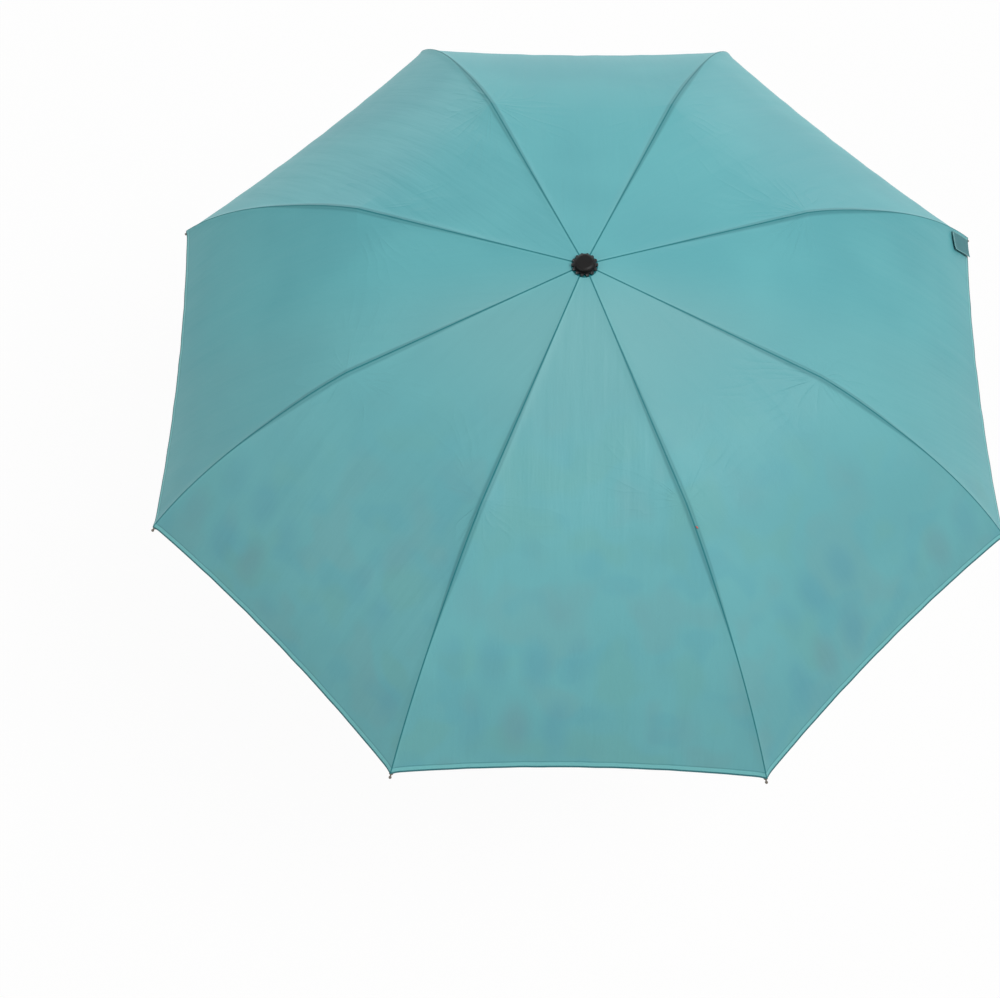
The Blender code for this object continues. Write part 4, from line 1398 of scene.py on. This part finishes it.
HARD = {
    "cap": Hard(
        "cap_matt_black", paint(15, 14, 14), paint(21, 20, 20), 0.42, grain=700.0,
        relief=0.01 * MM, gloss=0.16,
    ),
    "soft_black_plastic": Hard(
        "grip_soft_black", paint(30, 30, 32), paint(36, 36, 38), 0.58, grain=900.0,
        relief=0.04 * MM,
    ),
    "black_plastic": Hard(
        "moulded_black", paint(27, 27, 29), paint(34, 34, 36), 0.42, grain=500.0
    ),
    "glossy_black_plastic": Hard(
        "glossy_black", paint(20, 20, 22), paint(26, 26, 28), 0.22, coat=0.25, grain=300.0,
        relief=0.01 * MM, gloss=0.3,
    ),
    "black_tube": Hard(
        "tube_black_lacquer", paint(26, 27, 29), paint(33, 34, 36), 0.28, metal=0.1,
        coat=0.5, grain=160.0, relief=0.008 * MM, stretch=0.1,
    ),
    "black_steel": Hard(
        "bar_black_steel", paint(40, 41, 43), paint(50, 51, 53), 0.36, metal=0.75,
        grain=240.0, relief=0.012 * MM,
    ),
    "bright_wire": Hard(
        "wire_bright_steel", paint(196, 197, 199), paint(176, 177, 180), 0.24, metal=1.0,
        grain=400.0, relief=0.006 * MM,
    ),
    "bright_tip": Hard(
        "tip_dull_bronze", paint(120, 112, 102), paint(98, 92, 84), 0.38, metal=0.7,
        grain=300.0, relief=0.01 * MM,
    ),
    "fibreglass_rod": Hard(
        "rod_grey_fibreglass", paint(92, 92, 90), paint(74, 74, 73), 0.45, coat=0.2,
        grain=260.0, relief=0.02 * MM,
    ),
    "red_plastic": Hard(
        "key_red", paint(186, 28, 30), paint(168, 22, 26), 0.34, coat=0.3, grain=300.0
    ),
}
OWN_FINISH = {"crown_cap": "cap", "crown_washer": "glossy_black_plastic"}


def dress_frame() -> None:
    """Gives every CAD node that stays visible its finish, its own or by its material's name."""
    made = {name: hard.build() for name, hard in HARD.items()}
    for name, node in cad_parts.items():
        for slot in node.material_slots:
            known = slot.material.name.split(".")[0] if slot.material else ""
            known = OWN_FINISH.get(name, known)
            if known in made:
                slot.material = made[known]
                LOG.info("%s: %s", name, made[known].name)


@dataclass(frozen=True)
class Sewing:
    """The small cloth pieces: strap, tab, pockets, loops, a stitch and the crown's centre."""

    outer: OuterPattern
    cover: Material
    printed: Material
    tape: Material
    pocket: Material
    thread: Material
    strap_rib: int = 6
    strap_size: Pair = (20 * MM, 150 * MM)
    strap_at: float = 150 * MM
    strap_drop: float = 9.9 * MM
    tab_rib: int = 1
    tab_size: Pair = (23 * MM, 48 * MM)
    tab_at: float = 277 * MM
    tab_aside: float = 16.5 * MM
    loop_half: float = radians(119.0)
    stitch_rib: int = 7
    stitch_at: float = 26 * MM
    stitch_size: tuple[float, float, float] = (1.7 * MM, 0.7 * MM, 0.55 * MM)

    def centre(self) -> None:
        """The middle of the outer canopy, clamped under the crown washer."""
        reach = self.outer.centre_end
        builder = bmesh.new()
        start = builder.verts.new((self.outer.hole, 0.0, self.outer.height))
        end = builder.verts.new((reach, 0.0, self.outer.height))
        edge = builder.edges.new((start, end))
        bmesh.ops.spin(
            builder,
            geom=[start, end, edge],
            cent=(0.0, 0.0, 0.0),
            axis=(0.0, 0.0, 1.0),
            angle=tau,
            steps=64,
            use_merge=True,
        )
        bmesh.ops.remove_doubles(builder, verts=builder.verts[:], dist=0.01 * MM)
        area = thicken(builder, CLOTH)
        made = finished_piece(builder, "cover_centre", self.cover)
        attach(made, "shaft")
        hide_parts("outer_canopy")
        LOG.info("cover centre")

    def band(
        self,
        name: str,
        size: Pair,
        cells: tuple[int, int],
        place: Callable[[float, float], Vector],
        thickness: float,
        finish: Material,
    ) -> Piece:
        """Lays a small sheet of cloth by a rule.

        Args:
            name: The piece's name.
            size: Its flat width and length.
            cells: How many cells across and along.
            place: Takes shares from -0.5 to 0.5 across and along, gives the point.
            thickness: How thick the cloth is.
            finish: Its material.

        Returns:
            The piece, not yet riding on a body.
        """
        builder = bmesh.new()
        across_of = builder.verts.layers.float.new("across")
        lengthwise_of = builder.verts.layers.float.new("lengthwise")
        bmesh.ops.create_grid(builder, x_segments=cells[0], y_segments=cells[1], size=0.5)
        for vert in builder.verts:
            vert[across_of] = vert.co.x * size[0]
            vert[lengthwise_of] = vert.co.y * size[1]
            vert.co = place(vert.co.x, vert.co.y)
        area = thicken(builder, thickness)
        made = finished_piece(builder, name, finish)
        return made

    def strap(self) -> None:
        """The closing strap, which hangs from the inner canopy under one rib."""
        turn = turn_to(self.strap_rib)
        hang = ROD.at(self.strap_at) - Vector((0.0, self.strap_drop))
        width, length = self.strap_size

        def place(across: float, along: float) -> Vector:
            """Finds a point of the strap as it hangs.

            Args:
                across: From -0.5 to 0.5 across its width.
                along: From -0.5 to 0.5 along its length.

            Returns:
                The point.
            """
            part = along + 0.5
            sway = 4 * MM * sin(part * pi) + 0.5 * MM * sin(part * 17)
            cup = 0.6 * MM * (4 * across * across)
            return turn @ Vector((hang.x + sway + cup, across * width, hang.y - length * part))

        made = self.band("closing_strap_cloth", self.strap_size, (10, 48), place,
                         1.1 * MM, self.printed)
        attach(made, f"rib_outer_{self.strap_rib}")
        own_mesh(made)
        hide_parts("closing_strap")
        LOG.info("closing strap")

    def rim_tab(self) -> None:
        """The bare tab beside one rib near its tip, on the outer canopy."""
        width, length = self.tab_size
        slope = rod_slope(self.tab_at)
        ridge = self.outer.point(self.tab_at) + rod_normal(self.tab_at) * 0.55 * MM
        share = 1 / 3
        fall = atan(-sin(slope) * GORE_SIN / GORE_COS)
        fall += atan(RIM_DIP * (1 - (1 - share) ** 2) / (share * ridge.x * GORE_SIN))
        seat = (
            turn_to(self.tab_rib)
            @ Matrix.Translation((ridge.x, 0.0, ridge.y))
            @ Matrix.Rotation(-slope, 4, "Y")
            @ Matrix.Rotation(fall, 4, "X")
        )

        def place(across: float, lengthwise: float) -> Vector:
            """Finds a point of the tab on the cloth.

            Args:
                across: From -0.5 to 0.5 across its width.
                lengthwise: From -0.5 to 0.5 along its length.

            Returns:
                The point.
            """
            curl = 0.9 * MM * (max(0.0, -2 * across) ** 3 + max(0.0, -2 * lengthwise) ** 4)
            follow = -1.1 * (lengthwise * length) ** 2
            trim = 4 * MM * max(0.0, 2 * lengthwise) ** 2 * (0.5 - across)
            return seat @ Vector(
                (lengthwise * length - trim, across * width - self.tab_aside, curl + follow)
            )

        made = self.band("rim_tab_cloth", self.tab_size, (14, 28), place, 0.6 * MM, self.tape)
        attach(made, f"rib_outer_{self.tab_rib}")
        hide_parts("rim_tab")
        LOG.info("rim tab")

    def loops(self) -> None:
        """The tip pockets and the cloth loops that hold the outer canopy to its rods."""
        for number in range(1, RIB_COUNT + 1):
            for name, start, end, radius in (
                ("tip_pocket", 289 * MM, 307 * MM, 3.3 * MM),
                ("rod_loop", 258 * MM, 262 * MM, 2.7 * MM),
            ):
                made = self.loop(f"{name}_{number}", number, (start, end), radius)
                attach(made, f"rib_outer_{number}")
        LOG.info("tip pockets and rod loops")

    def loop(self, name: str, number: int, span: Pair, radius: float) -> Piece:
        """Passes cloth round a rod, up to the outer canopy on both sides of it.

        Args:
            name: The piece's name.
            number: The rib.
            span: Where it begins and ends along the rod.
            radius: Its inner radius round the rod.

        Returns:
            The loop.
        """
        turn = turn_to(number)

        def place(across: float, lengthwise: float) -> Vector:
            """Finds a point of the loop.

            Args:
                across: From -0.5 to 0.5 round the rod.
                lengthwise: From -0.5 to 0.5 along it.

            Returns:
                The point.
            """
            along = blend_of(*span, lengthwise + 0.5)
            around = 2 * across * self.loop_half
            point = ROD.at(along) + rod_normal(along) * (-radius * cos(around))
            return turn @ Vector((point.x, radius * sin(around), point.y))

        size = (2 * self.loop_half * radius, max(span[1] - span[0], LEAST_FLAT))
        return self.band(name, size, (16, 8), place, 0.4 * MM, self.pocket)

    def thread_end(self) -> None:
        """The little coral stitch on one seam, just beyond its joint."""
        along = self.stitch_at
        point = self.outer.point(along) + rod_normal(along) * 0.5 * MM
        builder = bmesh.new()
        bmesh.ops.create_uvsphere(builder, u_segments=16, v_segments=10, radius=1.0)
        bmesh.ops.scale(builder, vec=self.stitch_size, verts=builder.verts[:])
        seat = (
            turn_to(self.stitch_rib)
            @ Matrix.Translation((point.x, 1.6 * MM, point.y))
            @ Matrix.Rotation(-rod_slope(along), 4, "Y")
            @ Matrix.Rotation(radians(24.0), 4, "Z")
        )
        bmesh.ops.transform(builder, matrix=seat, verts=builder.verts[:])
        made = finished_piece(builder, "seam_stitch", self.thread)
        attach(made, f"rib_inner_{self.stitch_rib}")
        LOG.info("seam stitch")

    def build(self) -> None:
        """Makes every small cloth piece."""
        for make in (self.centre, self.strap, self.rim_tab, self.loops, self.thread_end):
            make()


@dataclass(frozen=True)
class Shot:
    """Where the photograph was taken from, and how far it reaches."""

    place: tuple[float, float, float] = (-0.0613, -0.8959, 2.0779)
    target: tuple[float, float, float] = (-0.0829, -0.2159, 0.5789)
    roll: float = 0.0179
    lens: float = 58.64

    def build(self) -> None:
        """Adds the camera."""
        data = bpy.data.cameras.new("photo_camera")
        data.lens = self.lens
        data.sensor_width = 36.0
        data.clip_start = 0.05
        data.clip_end = 60.0
        made = placed("photo_camera", data)
        back = (Vector(self.place) - Vector(self.target)).normalized()
        level = Vector((-back.y, back.x, 0.0)).normalized()
        upright = back.cross(level)
        right = level * cos(self.roll) - upright * sin(self.roll)
        up = level * sin(self.roll) + upright * cos(self.roll)
        turn = Matrix((right, up, back)).transposed().to_4x4()
        made.matrix_world = Matrix.Translation(self.place) @ turn
        bpy.context.scene.camera = made
        LOG.info("camera")


@dataclass(frozen=True)
class Lamp:
    """One soft lamp: its name, the way that it stands from the umbrella, and its power."""

    name: str
    aim: tuple[float, float, float]
    power: float


@dataclass(frozen=True)
class Studio:
    """The pale floor and the soft light."""

    floor_height: float = -69.2 * MM
    floor_half: float = 6.0
    floor_white: float = 0.95
    lamps: tuple[Lamp, ...] = (
        Lamp("key_lamp", (0.42, -0.14, 0.88), 59.0),
        Lamp("back_left_lamp", (-0.32, 0.92, 0.17), 19.0),
        Lamp("back_right_lamp", (0.4, 0.9, 0.17), 14.0),
        Lamp("fill_lamp", (-0.66, -0.55, 0.52), 19.0),
    )
    lamp_middle: tuple[float, float, float] = (0.0, 0.0, 0.5)
    lamp_distance: float = 3.2
    lamp_size: float = 1.6
    world_level: float = 0.31

    def paper(self) -> Material:
        """Makes matt paper, white to the camera with a faint shadow, and clear from below.

        Returns:
            The material.
        """
        recipe = Recipe("floor_paper")
        pale, paler = paint(247, 246, 244), paint(249, 248, 247)
        recipe.finish(Base_Color=recipe.mix(recipe.noise(3.0), pale, paler), Roughness=0.9)
        white = recipe.node("ShaderNodeEmission", {"Strength": 1.0})
        blend = recipe.node("ShaderNodeMixShader", {
            0: recipe.times(recipe.seen(), self.floor_white),
            1: recipe.surface.outputs[0],
            2: white.outputs[0],
        })
        through = recipe.node("ShaderNodeMixShader", {
            0: recipe.node("ShaderNodeNewGeometry").outputs["Backfacing"],
            1: blend.outputs[0],
            2: recipe.node("ShaderNodeBsdfTransparent").outputs[0],
        })
        recipe.feed(recipe.tree.nodes["Material Output"].inputs["Surface"], through.outputs[0])
        return recipe.material

    def floor(self) -> None:
        """The wide floor under the handle."""
        builder = bmesh.new()
        bmesh.ops.create_grid(builder, x_segments=1, y_segments=1, size=self.floor_half)
        bmesh.ops.translate(builder, vec=(0, 0, self.floor_height), verts=builder.verts[:])
        finished_piece(builder, "studio_floor", self.paper())

    def place(self, lamp: Lamp) -> None:
        """Adds a square soft lamp that looks at the middle of the umbrella.

        Args:
            lamp: The lamp.
        """
        data = bpy.data.lights.new(lamp.name, "AREA")
        data.size = self.lamp_size
        data.energy = lamp.power
        made = placed(lamp.name, data)
        toward = Vector(lamp.aim).normalized()
        made.location = Vector(self.lamp_middle) + toward * self.lamp_distance
        made.rotation_mode = "QUATERNION"
        made.rotation_quaternion = toward.to_track_quat("Z", "Y")

    def world(self) -> None:
        """An even white sky, plain white where the camera sees it."""
        world = bpy.data.worlds.new("studio_sky")
        bpy.context.scene.world = world
        world.use_nodes = True
        nodes = Nodes(world.node_tree)
        level = nodes.node("ShaderNodeMapRange", {
            "Value": nodes.seen(), "To Min": self.world_level, "To Max": 1.0,
        })
        sky = world.node_tree.nodes["Background"].inputs
        nodes.feed(sky["Color"], (1.0, 1.0, 1.0, 1.0))
        nodes.feed(sky["Strength"], level.outputs["Result"])

    def build(self) -> None:
        """Adds the whole studio."""
        self.floor()
        for lamp in self.lamps:
            self.place(lamp)
        self.world()
        bpy.context.scene.view_settings.view_transform = "Standard"
        LOG.info("studio")


def main() -> None:
    """Builds everything in order."""
    logging.basicConfig(level=logging.INFO, format="%(name)s %(message)s")
    dress_frame()
    outer, inner = OuterPattern(), InnerPattern()
    cover, lining = outer.layer(), inner.layer()
    cover_cloth = CoverCloth("cover_teal_cloth").build()
    lining_cloth = LiningCloth("lining_printed_cloth").build()
    CanopyMaker(
        cover, outer.panels(cover.line), cover_cloth, "teal_cloth", "outer_canopy"
    ).build_all()
    CanopyMaker(
        lining, inner.panels(lining.line), lining_cloth, "printed_cloth", "inner_canopy"
    ).build_all()
    Sewing(
        outer=outer,
        cover=cover_cloth,
        printed=StrapCloth("strap_printed_cloth").build(),
        tape=TabTape("tab_deep_teal").build(),
        pocket=PlainCloth("pocket_teal").dyed(paint(96, 160, 166), paint(86, 150, 156)),
        thread=PlainCloth("thread_coral").dyed(paint(214, 104, 92), paint(196, 84, 76)),
    ).build()
    Studio().build()
    Shot().build()


if __name__ == "__main__":
    main()
